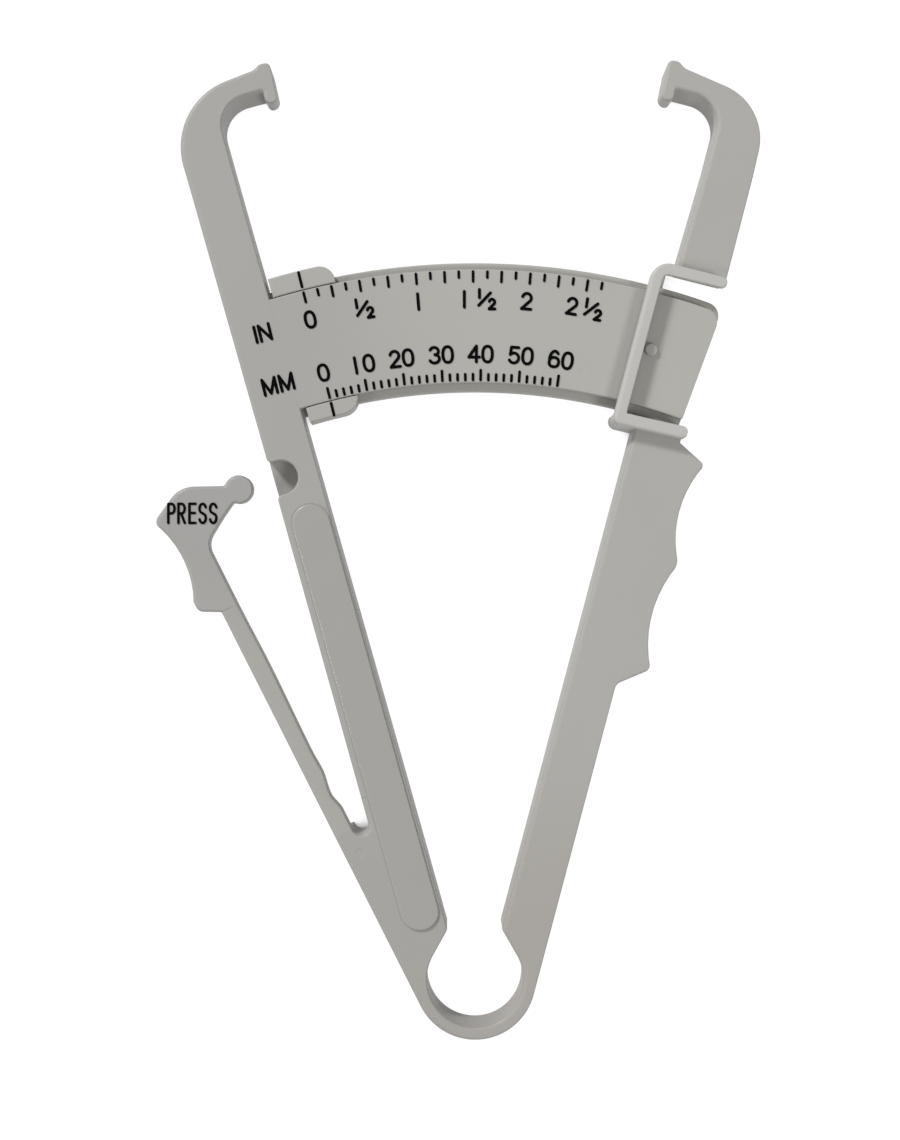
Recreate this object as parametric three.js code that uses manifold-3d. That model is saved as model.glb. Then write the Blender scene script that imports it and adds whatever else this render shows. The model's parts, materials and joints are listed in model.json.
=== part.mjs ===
// A plastic skinfold caliper, lying flat with its jaws open.
//
// One moulding holds two hooked arms, the C-shaped spring that joins them, a thumb lever that flexes
// from the fixed arm's root, and a curved scale rail. The moving arm carries a window frame that the rail
// passes through. A separate clip slides along the rail and keeps the reading.
//
// Millimetres. X runs across the arms, Y from the spring to the jaws, Z up from the table.
// Bearings are in degrees, clockwise from +Y, about the spring's centre, which is the arms' hinge.

import * as THREE from 'three';
import { mergeVertices } from 'three/addons/utils/BufferGeometryUtils.js';
import Module from 'manifold-3d';

const wasm = await Module();
wasm.setup();

// Body and spring
const BODY_DEPTH = 8;
const SPRING_BORE_RADIUS = 8.45;
const SPRING_WALL = 2.25;
const ARM_WIDTH = 8.4;
const FIXED_BEARING = -15.6;
const MOVING_BEARING = 14.85;
const ROOT_REACH = 36;

// Jaws: reaches are distances from the hinge
const HOOK_LENGTH = 12;
const FIXED_HOOK_RADIUS = 11;
const MOVING_HOOK_RADIUS = 9.5;
const HOOK_FLARE = 0.4;
const HOOK_INNER_RADIUS = 4.6;
const HOOK_TAPER = 7;
const NECK_REACH = 160;
const NECK_HEIGHT = 3.9;
const PAD_ANGLE = 2.95;
const PAD_HEIGHT = 6.2;
const PAD_OVERHANG = 1.1;
const PAD_THICKNESS = 2.2;
const PAD_ROUND = 0.8;

// Scale rail: a raised plate on a wider flange that the slider hooks on
const PLATE_INNER_RADIUS = 104.75;
const PLATE_WIDTH = 19.9;
const PLATE_RISE = 1;
const FLANGE_LIP = 1.4;
const FLANGE_THICKNESS = 2.5;
const RAIL_OVERRUN = 5.45;
const RAIL_CORNER_RADIUS = 2.5;

// Graduations: a reading is the straight distance between the pads
const READING_SETBACK = 2.1;
const ZERO_OFFSET = 1.58;
const INCH = 25.4;
const INCH_TICKS = 22;
const INCH_TICKS_PER_UNIT = 8;
const METRIC_TICKS = 31;
const METRIC_STEP = 2;
const TICK_WIDTH = 0.4;
const TICK_RISE = 0.15;
const TICK_MARGIN = 0.2;
const LONG_TICK = 2.2;
const SHORT_TICK = 1.5;

// Slider
const SLIDER_OUTER_WALL = 1.85;
const SLIDER_INNER_WALL = 1.3;
const SLIDER_BACK = 1.5;
const SLIDER_WIDTH = 11.6;
const SLIDER_CORNER_RADIUS = 2.4;
const SLIDER_SIDE_GAP = 0.3;
const SLIDER_FACE_GAP = 0.15;
const SLIDER_REST_GAP = 0.3;

// Window frame on the moving arm
const FRAME_RISE = 2.5;
const FRAME_BAR_WIDTH = 2.1;
const FRAME_STANDOFF = 2.2;
const FRAME_OVERHANG = 0.5;
const FRAME_TILT = 2;
const FRAME_UPPER_GAP = 1.9;
const FRAME_SETBACK = 1.3;
const FRAME_LOWER_GAP = 0.25;
const FRAME_FACE_GAP = 0.4;
const FRAME_CORNER_RADIUS = 3;
const FRAME_END_RADIUS = 0.9;

// Stop peg that the window frame rests against
const PEG_RADIUS = 1.1;
const PEG_HEIGHT = 0.8;
const PEG_GAP = 0.3;

// Raised panel on the fixed arm
const PANEL_WIDTH = 6.4;
const PANEL_START = 10.8;
const PANEL_SOCKET_GAP = 2.8;
const PANEL_RISE = 0.45;

// Finger grip on the moving arm
const GRIP_SHOULDER = 2.6;
const GRIP_SCALLOPS = [17.5, 19.1];
const GRIP_HEIGHT = 5.2;
const GRIP_DEPTH = 1.9;
const GRIP_LIP = 4;
const GRIP_ROUND = 0.9;

// Thumb lever
const LEVER_SPREAD = 11.2;
const LEVER_DEPTH = 3;
const LEVER_WIDTH = 3.15;
const LEVER_WAIST = 2.65;
const LEVER_ROOT_REACH = 33.4;
const LEVER_HINGE_AHEAD = 0.6;
const LEVER_TRAVEL = 7.1;
const FLEXURE_LENGTH = 12;
const FLEXURE_SHOULDER = 3.6;
const FLEXURE_BLEND = 3;
const FORK_RADIUS = 1.6;
const BEAM_LENGTH = 32.2;
const HEAD_STEP = 3.6;
const HEAD_LIP = 1.9;
const HEAD_LIP_RADIUS = 1.5;
const THUMB_LENGTH = 15.6;
const THUMB_DEPTH = 2.1;
const TIP_RADIUS = 1.3;
const CROWN_RISE = 3.7;
const CROWN_SETBACK = 5.4;
const CROWN_RADIUS = 5;
const CROWN_DROP = 5.2;
const THROAT_SETBACK = 5.9;
const THROAT_RADIUS = 2.5;
const NECK_WAIST = 3.3;
const BALL_RADIUS = 2.5;
const BALL_SETBACK = 1.5;
const BALL_OVERHANG = 12.4;
const SOCKET_CLEARANCE = 0.5;
const SOCKET_SHIFT = 0.35;
const SOCKET_FLOOR_GAP = 0.9;

// Faceting, in degrees
const RAIL_STEP = 1.5;
const ROUND_STEP = 15;

// Worked out from the sizes above
const SPRING_OUTER_RADIUS = SPRING_BORE_RADIUS + SPRING_WALL;
const ARM_INNER = SPRING_OUTER_RADIUS - ARM_WIDTH;
const PLATE_OUTER_RADIUS = PLATE_INNER_RADIUS + PLATE_WIDTH;
const FLANGE_INNER_RADIUS = PLATE_INNER_RADIUS - FLANGE_LIP;
const FLANGE_OUTER_RADIUS = PLATE_OUTER_RADIUS + FLANGE_LIP;
const PLATE_MIDDLE_RADIUS = (PLATE_INNER_RADIUS + PLATE_OUTER_RADIUS) / 2;
const FLANGE_TOP = BODY_DEPTH - PLATE_RISE;
const RAIL_BOTTOM = FLANGE_TOP - FLANGE_THICKNESS;
const LEVER_BOTTOM = BODY_DEPTH - LEVER_DEPTH;
const LEVER_BEARING = FIXED_BEARING - LEVER_SPREAD;
const HOOK_START = NECK_REACH - HOOK_LENGTH;
const READING_RADIUS = NECK_REACH - READING_SETBACK;
const LEVER_HINGE_REACH = LEVER_ROOT_REACH + LEVER_HINGE_AHEAD;
const FLEXURE_END = LEVER_ROOT_REACH + FLEXURE_LENGTH;
const HEAD_START = FLEXURE_END + BEAM_LENGTH;
const THUMB_START = HEAD_START + 2 * HEAD_LIP;
const THUMB_END = THUMB_START + THUMB_LENGTH;
const BALL_REACH = THUMB_END - BALL_SETBACK;
const BRIDGE_OUTER = ARM_INNER - FRAME_STANDOFF;
const BRIDGE_INNER = BRIDGE_OUTER - FRAME_BAR_WIDTH;
const FRAME_END = SPRING_OUTER_RADIUS + FRAME_OVERHANG;
const UPPER_EDGE = FLANGE_OUTER_RADIUS + FRAME_UPPER_GAP;
const PLASTIC = { color: 0xa8a7a3, roughness: 0.38, metalness: 0 };
const PLASTIC_LIGHT = { color: 0xb1afab, roughness: 0.36, metalness: 0 };

const radians = THREE.MathUtils.degToRad;
const degrees = THREE.MathUtils.radToDeg;

function polar(radius, bearing) {
  return new THREE.Vector2(radius * Math.sin(radians(bearing)), radius * Math.cos(radians(bearing)));
}

// Coordinates along a limb that leaves the hinge at a bearing, and out towards one of its sides
function limb(bearing, side) {
  const ahead = polar(1, bearing);
  const outward = polar(side, bearing + 90);
  return (along, out) => ahead.clone().multiplyScalar(along).addScaledVector(outward, out);
}

// A straight line: all points whose distance from the hinge along a bearing is the same
function line(bearing, distance) {
  return { normal: polar(1, bearing), distance };
}

function meet(first, second) {
  const a = first.normal;
  const b = second.normal;
  const spread = a.cross(b);
  const x = (first.distance * b.y - second.distance * a.y) / spread;
  const y = (a.x * second.distance - b.x * first.distance) / spread;
  return new THREE.Vector2(x, y);
}

const fixedLimb = limb(FIXED_BEARING, -1);
const movingLimb = limb(MOVING_BEARING, 1);
const leverLimb = limb(LEVER_BEARING, -1);
const fixedSide = (out) => line(FIXED_BEARING - 90, out);
const movingSide = (out) => line(MOVING_BEARING + 90, out);
const leverSide = (out) => line(LEVER_BEARING - 90, out);
const ringLine = line(0, 0);

// Points on an arc about the hinge, between two bearings
function railArc(radius, from, to) {
  const steps = Math.max(1, Math.ceil(Math.abs(to - from) / RAIL_STEP));
  return Array.from({ length: steps + 1 }, (_, i) => polar(radius, from + ((to - from) * i) / steps));
}

// Points on an arc about any centre, between two angles counted as bearings
function arcAbout(centre, radius, from, to) {
  const steps = Math.max(1, Math.ceil(Math.abs(to - from) / ROUND_STEP));
  return Array.from({ length: steps + 1 }, (_, i) => polar(radius, from + ((to - from) * i) / steps).add(centre));
}

// Points on the arc that joins two points and bulges to the left of the way by a depth
function bow(start, end, depth) {
  const half = start.distanceTo(end) / 2;
  const radius = (half * half + depth * depth) / (2 * Math.abs(depth));
  const way = end.clone().sub(start).normalize();
  const left = new THREE.Vector2(-way.y, way.x).multiplyScalar(Math.sign(depth));
  const middle = start.clone().add(end).multiplyScalar(0.5);
  const sweep = Math.asin(Math.min(1, half / radius));
  const steps = Math.max(2, Math.ceil(degrees(2 * sweep) / (ROUND_STEP / 2)));
  return Array.from({ length: steps + 1 }, (_, i) => {
    const turn = sweep * ((2 * i) / steps - 1);
    const across = radius * Math.sin(turn);
    const rise = radius * (Math.cos(turn) - Math.cos(sweep));
    return middle.clone().addScaledVector(way, across).addScaledVector(left, rise);
  });
}

// An outline whose corners are given as [point, radius], each rounded as far as its sides allow
function rounded(corners) {
  const count = corners.length;
  const outline = [];
  corners.forEach(([point, radius], i) => {
    const [before, radiusBefore] = corners[(i + count - 1) % count];
    const [after, radiusAfter] = corners[(i + 1) % count];
    const toBefore = before.clone().sub(point);
    const toAfter = after.clone().sub(point);
    const angle = Math.abs(toBefore.angleTo(toAfter));
    if (radius === 0 || angle > Math.PI - 0.01) {
      outline.push(point.clone());
      return;
    }
    const roomBefore = toBefore.length() * (radiusBefore > 0 ? 0.49 : 0.98);
    const roomAfter = toAfter.length() * (radiusAfter > 0 ? 0.49 : 0.98);
    const tangent = Math.min(radius / Math.tan(angle / 2), roomBefore, roomAfter);
    const start = point.clone().addScaledVector(toBefore.normalize(), tangent);
    const end = point.clone().addScaledVector(toAfter.normalize(), tangent);
    const fillet = tangent * Math.tan(angle / 2);
    const turnsLeft = toBefore.cross(toAfter) < 0;
    const sagitta = fillet * (1 - Math.sin(angle / 2));
    outline.push(...bow(start, end, turnsLeft ? -sagitta : sagitta));
  });
  return outline;
}

// A straight bar with round ends, from one centre to the other
function stadium(from, to, radius) {
  const way = to.clone().sub(from);
  const bearing = degrees(Math.atan2(way.x, way.y));
  return [
    ...arcAbout(to, radius, bearing - 90, bearing + 90),
    ...arcAbout(from, radius, bearing + 90, bearing + 270),
  ];
}

function slab(outline, bottom, top) {
  const geometry = new THREE.ExtrudeGeometry(new THREE.Shape(outline), {
    depth: top - bottom,
    bevelEnabled: false,
    steps: 1,
  });
  return geometry.translate(0, 0, bottom);
}

function toSolid(geometry) {
  const bare = geometry.clone();
  bare.deleteAttribute('normal');
  bare.deleteAttribute('uv');
  const merged = mergeVertices(bare, 1e-5);
  const vertProperties = new Float32Array(merged.attributes.position.array);
  const triVerts = new Uint32Array(merged.index.array);
  return new wasm.Manifold(new wasm.Mesh({ numProp: 3, vertProperties, triVerts }));
}

function toGeometry(solid) {
  const mesh = solid.getMesh();
  const geometry = new THREE.BufferGeometry();
  geometry.setAttribute('position', new THREE.BufferAttribute(new Float32Array(mesh.vertProperties), 3));
  geometry.setIndex(new THREE.BufferAttribute(new Uint32Array(mesh.triVerts), 1));
  const faceted = geometry.toNonIndexed();
  faceted.computeVertexNormals();
  return faceted;
}

function cut(geometry, tool) {
  return toGeometry(toSolid(geometry).subtract(toSolid(tool)));
}

function join(...geometries) {
  return toGeometry(geometries.map(toSolid).reduce((whole, piece) => whole.add(piece)));
}

function piece(name, geometry, finish = PLASTIC) {
  const mesh = new THREE.Mesh(geometry, new THREE.MeshStandardMaterial(finish));
  mesh.name = name;
  return mesh;
}

// Spring: half a ring below the hinge, drawn out to the tangents of the lever and the moving arm
function springBow() {
  const outer = [
    meet(leverSide(SPRING_OUTER_RADIUS), ringLine),
    ...arcAbout(new THREE.Vector2(), SPRING_OUTER_RADIUS, LEVER_BEARING - 90, MOVING_BEARING - 270),
    meet(movingSide(SPRING_OUTER_RADIUS), ringLine),
  ];
  const bore = arcAbout(new THREE.Vector2(), SPRING_BORE_RADIUS, -270, -90);
  return piece('spring_bow', slab([...outer, ...bore], 0, BODY_DEPTH));
}

// The bore's corner with an arm's inner face, and its way round to the ring line
function boreSide(limbAt, side) {
  const corner = Math.sqrt(SPRING_BORE_RADIUS ** 2 - ARM_INNER ** 2);
  const point = limbAt(corner, ARM_INNER);
  const bearing = degrees(Math.atan2(point.x, point.y));
  return arcAbout(new THREE.Vector2(), SPRING_BORE_RADIUS, side * 90, bearing);
}

// Root of the fixed arm, with the stub of the thumb lever and the fork between them
function fixedRoot() {
  const apex = meet(leverSide(SPRING_OUTER_RADIUS - LEVER_WIDTH), fixedSide(SPRING_OUTER_RADIUS));
  const outline = rounded([
    [fixedLimb(ROOT_REACH, ARM_INNER), 0],
    [fixedLimb(ROOT_REACH, SPRING_OUTER_RADIUS), 0],
    [apex, FORK_RADIUS],
    [leverLimb(LEVER_ROOT_REACH, SPRING_OUTER_RADIUS - LEVER_WIDTH), 0],
    [leverLimb(LEVER_ROOT_REACH, SPRING_OUTER_RADIUS), 0],
    [meet(leverSide(SPRING_OUTER_RADIUS), ringLine), 0],
    ...boreSide(fixedLimb, -1).map((point) => [point, 0]),
  ]);
  return piece('fixed_root', slab(outline, 0, BODY_DEPTH));
}

function turned(point, centre, bearing) {
  return point.clone().rotateAround(centre, -radians(bearing));
}

const leverHinge = leverLimb(LEVER_HINGE_REACH, SPRING_OUTER_RADIUS - LEVER_WIDTH / 2);
const ballCentre = leverLimb(BALL_REACH, SPRING_OUTER_RADIUS - BALL_OVERHANG);
const pressedBall = turned(ballCentre, leverHinge, LEVER_TRAVEL);
const socketCentre = pressedBall.clone().addScaledVector(polar(1, FIXED_BEARING), SOCKET_SHIFT);
const socketRadius = BALL_RADIUS + SOCKET_CLEARANCE;

// Fixed arm, with the blind socket in its outer face that the lever's ball clicks into
function fixedArm() {
  const bar = slab([
    fixedLimb(ROOT_REACH, ARM_INNER),
    fixedLimb(HOOK_START, ARM_INNER),
    fixedLimb(HOOK_START, SPRING_OUTER_RADIUS),
    fixedLimb(ROOT_REACH, SPRING_OUTER_RADIUS),
  ], 0, BODY_DEPTH);
  const mouth = socketCentre.clone().addScaledVector(polar(1, FIXED_BEARING - 90), ARM_WIDTH);
  const outline = stadium(socketCentre, mouth, socketRadius);
  const socket = slab(outline, LEVER_BOTTOM - SOCKET_FLOOR_GAP, BODY_DEPTH + 1);
  return piece('fixed_arm', cut(bar, socket));
}

// A hook turns from the arm's end to a neck that meets the back of the jaw's pad
function hook(name, bearing, side, radius) {
  const at = limb(bearing, side);
  const padAt = limb(bearing - side * PAD_ANGLE, side);
  const neckTop = padAt(NECK_REACH + NECK_HEIGHT, PAD_THICKNESS);
  const neckBottom = padAt(NECK_REACH, PAD_THICKNESS);
  const sideLine = (out) => line(bearing + side * 90, out);
  const topNormal = bearing + side * HOOK_TAPER;
  const topLine = line(topNormal, neckTop.dot(polar(1, topNormal)));
  const bottomLine = line(bearing, neckBottom.dot(polar(1, bearing)));
  const outline = rounded([
    [at(HOOK_START, ARM_INNER), 0],
    [at(HOOK_START, SPRING_OUTER_RADIUS), 0],
    [meet(sideLine(SPRING_OUTER_RADIUS + HOOK_FLARE), topLine), radius],
    [neckTop, 0],
    [neckBottom, 0],
    [meet(sideLine(ARM_INNER), bottomLine), HOOK_INNER_RADIUS],
  ]);
  return piece(name, slab(outline, 0, BODY_DEPTH));
}

// A pad's face is flat and points straight at the other pad when the jaws close
function pad(name, bearing, side) {
  const at = limb(bearing - side * PAD_ANGLE, side);
  const low = NECK_REACH - PAD_OVERHANG;
  const high = low + PAD_HEIGHT;
  const outline = rounded([
    [at(low, 0), PAD_ROUND],
    [at(low, PAD_THICKNESS), PAD_ROUND],
    [at(high, PAD_THICKNESS), PAD_ROUND],
    [at(high, 0), PAD_ROUND],
  ]);
  return piece(name, slab(outline, 0, BODY_DEPTH), PLASTIC_LIGHT);
}

const railFaceBearing = (radius) => FIXED_BEARING - degrees(Math.asin(ARM_INNER / radius));
const railEndBearing = MOVING_BEARING + RAIL_OVERRUN;
const zeroBearing = FIXED_BEARING + ZERO_OFFSET;

// A band of the rail, from the fixed arm's inner face to the rail's end
function railBand(innerRadius, outerRadius, bottom, top) {
  const along = (radius) => railArc(radius, railFaceBearing(radius), railEndBearing);
  const corners = [
    ...along(outerRadius).map((point) => [point, 0]),
    ...along(innerRadius).reverse().map((point) => [point, 0]),
  ];
  corners[along(outerRadius).length - 1][1] = RAIL_CORNER_RADIUS;
  return slab(rounded(corners), bottom, top);
}

function readingBearing(reading) {
  return zeroBearing + degrees(2 * Math.asin(reading / (2 * READING_RADIUS)));
}

// One raised graduation, from an edge radius inwards or outwards
function tick(reading, edgeRadius, length) {
  const bearing = readingBearing(reading);
  const start = polar(edgeRadius, bearing);
  const end = polar(edgeRadius + length, bearing);
  const half = polar(TICK_WIDTH / 2, bearing + 90);
  const outline = [
    start.clone().sub(half),
    start.clone().add(half),
    end.clone().add(half),
    end.clone().sub(half),
  ];
  return slab(outline, BODY_DEPTH - PLATE_RISE / 2, BODY_DEPTH + TICK_RISE);
}

function inchTicks() {
  const edge = PLATE_OUTER_RADIUS - TICK_MARGIN;
  return Array.from({ length: INCH_TICKS }, (_, i) => {
    const length = i % 2 === 0 ? LONG_TICK : SHORT_TICK;
    return tick((i * INCH) / INCH_TICKS_PER_UNIT, edge, -length);
  });
}

function metricTicks() {
  const edge = PLATE_INNER_RADIUS + TICK_MARGIN;
  return Array.from({ length: METRIC_TICKS }, (_, i) => {
    const length = i % 5 === 0 ? LONG_TICK : SHORT_TICK;
    return tick(i * METRIC_STEP, edge, length);
  });
}

function scaleRail() {
  const flange = railBand(FLANGE_INNER_RADIUS, FLANGE_OUTER_RADIUS, RAIL_BOTTOM, FLANGE_TOP);
  const plate = railBand(PLATE_INNER_RADIUS, PLATE_OUTER_RADIUS, RAIL_BOTTOM + FLANGE_THICKNESS / 2, BODY_DEPTH);
  return piece('scale_rail', join(flange, plate, ...inchTicks(), ...metricTicks()), PLASTIC_LIGHT);
}

// The peg stands on the plate, just outside the front bridge when the moving arm is at rest
function stopPeg() {
  const out = BRIDGE_OUTER + PEG_GAP + PEG_RADIUS;
  const along = Math.sqrt(PLATE_MIDDLE_RADIUS ** 2 - out ** 2);
  const outline = arcAbout(movingLimb(along, out), PEG_RADIUS, 0, 360 - ROUND_STEP);
  return piece('stop_peg', slab(outline, BODY_DEPTH, BODY_DEPTH + PEG_HEIGHT), PLASTIC_LIGHT);
}

function labelPanel() {
  const middle = SPRING_OUTER_RADIUS - ARM_WIDTH / 2;
  const radius = PANEL_WIDTH / 2;
  const panelEnd = socketCentre.dot(polar(1, FIXED_BEARING)) - socketRadius - PANEL_SOCKET_GAP;
  const outline = stadium(fixedLimb(PANEL_START + radius, middle), fixedLimb(panelEnd - radius, middle), radius);
  return piece('label_panel', slab(outline, BODY_DEPTH, BODY_DEPTH + PANEL_RISE));
}

// The slider: a back plate behind the rail, two walls, and two lips over the rail's flange
function slider() {
  const outer = FLANGE_OUTER_RADIUS + SLIDER_SIDE_GAP + SLIDER_OUTER_WALL;
  const inner = FLANGE_INNER_RADIUS - SLIDER_SIDE_GAP - SLIDER_INNER_WALL;
  const start = FIXED_BEARING - degrees(Math.asin((ARM_INNER - SLIDER_REST_GAP) / outer));
  const span = degrees(SLIDER_WIDTH / outer);
  const end = start + span;
  const back = RAIL_BOTTOM - SLIDER_FACE_GAP;
  const lipBottom = FLANGE_TOP + SLIDER_FACE_GAP;
  const block = (low, high, bottom, top, radius) => {
    const corners = [
      ...railArc(high, start, end).map((point) => [point, 0]),
      ...railArc(low, end, start).map((point) => [point, 0]),
    ];
    const last = railArc(high, start, end).length;
    corners[last - 1][1] = radius;
    corners[last][1] = radius;
    return slab(rounded(corners), bottom, top);
  };
  const body = block(inner, outer, back - SLIDER_BACK, BODY_DEPTH, SLIDER_CORNER_RADIUS);
  const wide = (low, high, bottom, top) => slab([
    ...railArc(high, start - span, end + span),
    ...railArc(low, end + span, start - span),
  ], bottom, top);
  const channel = wide(
    FLANGE_INNER_RADIUS - SLIDER_SIDE_GAP,
    FLANGE_OUTER_RADIUS + SLIDER_SIDE_GAP,
    back,
    lipBottom,
  );
  const mouth = wide(
    PLATE_INNER_RADIUS - SLIDER_FACE_GAP,
    PLATE_OUTER_RADIUS + SLIDER_FACE_GAP,
    back,
    BODY_DEPTH + 1,
  );
  return piece('slider', cut(body, join(channel, mouth)), PLASTIC_LIGHT);
}

// Root of the moving arm, from the ring line up
function movingRoot() {
  const outline = [
    movingLimb(ROOT_REACH, ARM_INNER),
    movingLimb(ROOT_REACH, SPRING_OUTER_RADIUS),
    meet(movingSide(SPRING_OUTER_RADIUS), ringLine),
    ...boreSide(movingLimb, 1),
  ];
  return piece('moving_root', slab(outline, 0, BODY_DEPTH));
}

// The window's lower edge clears the flange where the tilted bar's far end comes nearest to it
function lowerEdge() {
  const normal = MOVING_BEARING - FRAME_TILT;
  const endBearing = MOVING_BEARING + degrees(Math.atan2(FRAME_END, FLANGE_INNER_RADIUS));
  return line(normal, (FLANGE_INNER_RADIUS - FRAME_LOWER_GAP) * Math.cos(radians(endBearing - normal)));
}

function shifted(edge, distance) {
  return { normal: edge.normal, distance: edge.distance + distance };
}

const lowerWindowEdge = lowerEdge();
const upperWindowEdge = line(MOVING_BEARING + FRAME_TILT, UPPER_EDGE);
const upperArmEnd = shifted(upperWindowEdge, FRAME_SETBACK);

// Lower half of the moving arm, with finger scallops on its outer side
function gripArm() {
  const shoulder = lowerWindowEdge.distance - FRAME_BAR_WIDTH;
  const crestAt = (along) => movingLimb(along, SPRING_OUTER_RADIUS + GRIP_HEIGHT);
  let along = shoulder - GRIP_SHOULDER;
  const bumps = [[crestAt(along), GRIP_ROUND]];
  GRIP_SCALLOPS.forEach((length) => {
    const scallop = bow(crestAt(along), crestAt(along - length), -GRIP_DEPTH).slice(1, -1);
    along -= length;
    bumps.push(...scallop.map((point) => [point, 0]), [crestAt(along), GRIP_ROUND]);
  });
  const foot = along - GRIP_LIP;
  const outline = rounded([
    [meet(movingSide(ARM_INNER), lowerWindowEdge), 0],
    [meet(movingSide(SPRING_OUTER_RADIUS), lowerWindowEdge), 0],
    [movingLimb(shoulder, SPRING_OUTER_RADIUS), 0],
    ...bumps,
    [movingLimb(foot, SPRING_OUTER_RADIUS), 0],
    [movingLimb(ROOT_REACH, SPRING_OUTER_RADIUS), 0],
    [movingLimb(ROOT_REACH, ARM_INNER), 0],
  ]);
  return piece('grip_arm', slab(outline, 0, BODY_DEPTH));
}

// A bar along one edge of the window: a raised strip across the arm, and a full-depth post beside it,
// which starts where the arm's own end does
function windowBar(name, edge, armEnd, thickness, outerCorner) {
  const far = shifted(edge, thickness);
  const strip = rounded([
    [meet(movingSide(BRIDGE_INNER), edge), 0],
    [meet(movingSide(FRAME_END), edge), FRAME_END_RADIUS],
    [meet(movingSide(FRAME_END), far), FRAME_END_RADIUS],
    [meet(movingSide(BRIDGE_INNER), far), outerCorner],
  ]);
  const post = rounded([
    [meet(movingSide(BRIDGE_INNER), armEnd), 0],
    [meet(movingSide(ARM_INNER), armEnd), 0],
    [meet(movingSide(ARM_INNER), far), 0],
    [meet(movingSide(BRIDGE_INNER), far), outerCorner],
  ]);
  const top = BODY_DEPTH + FRAME_RISE;
  return piece(name, join(slab(strip, BODY_DEPTH, top), slab(post, 0, top)), PLASTIC_LIGHT);
}

// The two bridges join the bars, one in front of the rail and one behind it
function bridge(name, upperEdge, bottom, top) {
  const outline = [
    meet(movingSide(BRIDGE_INNER), lowerWindowEdge),
    meet(movingSide(BRIDGE_INNER), upperEdge),
    meet(movingSide(BRIDGE_OUTER), upperEdge),
    meet(movingSide(BRIDGE_OUTER), lowerWindowEdge),
  ];
  return piece(name, slab(outline, bottom, top), PLASTIC_LIGHT);
}

// The upper arm's end stands back under the bar, out of sight from above
function upperArm() {
  const outline = [
    meet(movingSide(ARM_INNER), upperArmEnd),
    movingLimb(HOOK_START, ARM_INNER),
    movingLimb(HOOK_START, SPRING_OUTER_RADIUS),
    meet(movingSide(SPRING_OUTER_RADIUS), upperArmEnd),
  ];
  return piece('upper_arm', slab(outline, 0, BODY_DEPTH));
}

// The lever leaves the root thinner than the body, and bends at its narrow waist
function leverFlexure() {
  const waist = SPRING_OUTER_RADIUS - LEVER_WAIST;
  const beam = SPRING_OUTER_RADIUS - LEVER_WIDTH;
  const shoulder = LEVER_ROOT_REACH + FLEXURE_SHOULDER;
  const outline = [
    leverLimb(LEVER_ROOT_REACH, SPRING_OUTER_RADIUS),
    leverLimb(LEVER_ROOT_REACH, beam),
    leverLimb(shoulder, beam),
    leverLimb(shoulder + FLEXURE_BLEND, waist),
    leverLimb(FLEXURE_END - FLEXURE_BLEND, waist),
    leverLimb(FLEXURE_END, beam),
    leverLimb(FLEXURE_END, SPRING_OUTER_RADIUS),
  ];
  return piece('lever_flexure', slab(outline, LEVER_BOTTOM, BODY_DEPTH));
}

function leverBeam() {
  const outline = [
    leverLimb(FLEXURE_END, SPRING_OUTER_RADIUS),
    leverLimb(FLEXURE_END, SPRING_OUTER_RADIUS - LEVER_WIDTH),
    leverLimb(HEAD_START, SPRING_OUTER_RADIUS - LEVER_WIDTH),
    leverLimb(HEAD_START, SPRING_OUTER_RADIUS),
  ];
  return piece('lever_beam', slab(outline, LEVER_BOTTOM, BODY_DEPTH));
}

// Where the ball's disc is cut flat to meet the neck
const ballFlat = Math.sqrt(BALL_RADIUS ** 2 - (NECK_WAIST / 2) ** 2);
const ballOut = SPRING_OUTER_RADIUS - BALL_OVERHANG;

// The thumb pad: a hammer-shaped head with a dished outer side and a neck towards the arm
function thumbPad() {
  const outer = SPRING_OUTER_RADIUS + HEAD_STEP;
  const beam = SPRING_OUTER_RADIUS - LEVER_WIDTH;
  const neckOut = ballOut + ballFlat;
  const crown = outer - CROWN_SETBACK;
  const dish = bow(leverLimb(THUMB_START, outer), leverLimb(THUMB_END, outer), -THUMB_DEPTH).slice(1, -1);
  const outline = rounded([
    [leverLimb(HEAD_START, beam), 0],
    [leverLimb(HEAD_START, SPRING_OUTER_RADIUS), 0],
    [leverLimb(HEAD_START + HEAD_LIP, outer), HEAD_LIP_RADIUS],
    [leverLimb(THUMB_START, outer), 0],
    ...dish.map((point) => [point, 0]),
    [leverLimb(THUMB_END, outer), TIP_RADIUS],
    [leverLimb(THUMB_END + CROWN_RISE, crown), CROWN_RADIUS],
    [leverLimb(BALL_REACH + NECK_WAIST / 2, neckOut), 0],
    [leverLimb(BALL_REACH - NECK_WAIST / 2, neckOut), 0],
    [leverLimb(BALL_REACH - NECK_WAIST / 2 - CROWN_RISE / 2, neckOut + CROWN_DROP / 2), CROWN_RADIUS],
    [leverLimb(BALL_REACH - THROAT_SETBACK, beam), THROAT_RADIUS],
  ]);
  return piece('thumb_pad', slab(outline, LEVER_BOTTOM, BODY_DEPTH));
}

function clickBall() {
  const open = degrees(Math.asin(NECK_WAIST / 2 / BALL_RADIUS));
  const bearing = LEVER_BEARING - 90;
  const outline = arcAbout(ballCentre, BALL_RADIUS, bearing + open, bearing + 360 - open);
  return piece('click_ball', slab(outline, LEVER_BOTTOM, BODY_DEPTH));
}

const caliper = new THREE.Group();
caliper.name = 'skinfold_caliper';

const fixedSideGroup = new THREE.Group();
fixedSideGroup.add(
  fixedRoot(),
  fixedArm(),
  hook('fixed_jaw', FIXED_BEARING, -1, FIXED_HOOK_RADIUS),
  pad('fixed_pad', FIXED_BEARING, -1),
  scaleRail(),
  stopPeg(),
  labelPanel(),
  springBow(),
  leverFlexure(),
);

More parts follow.
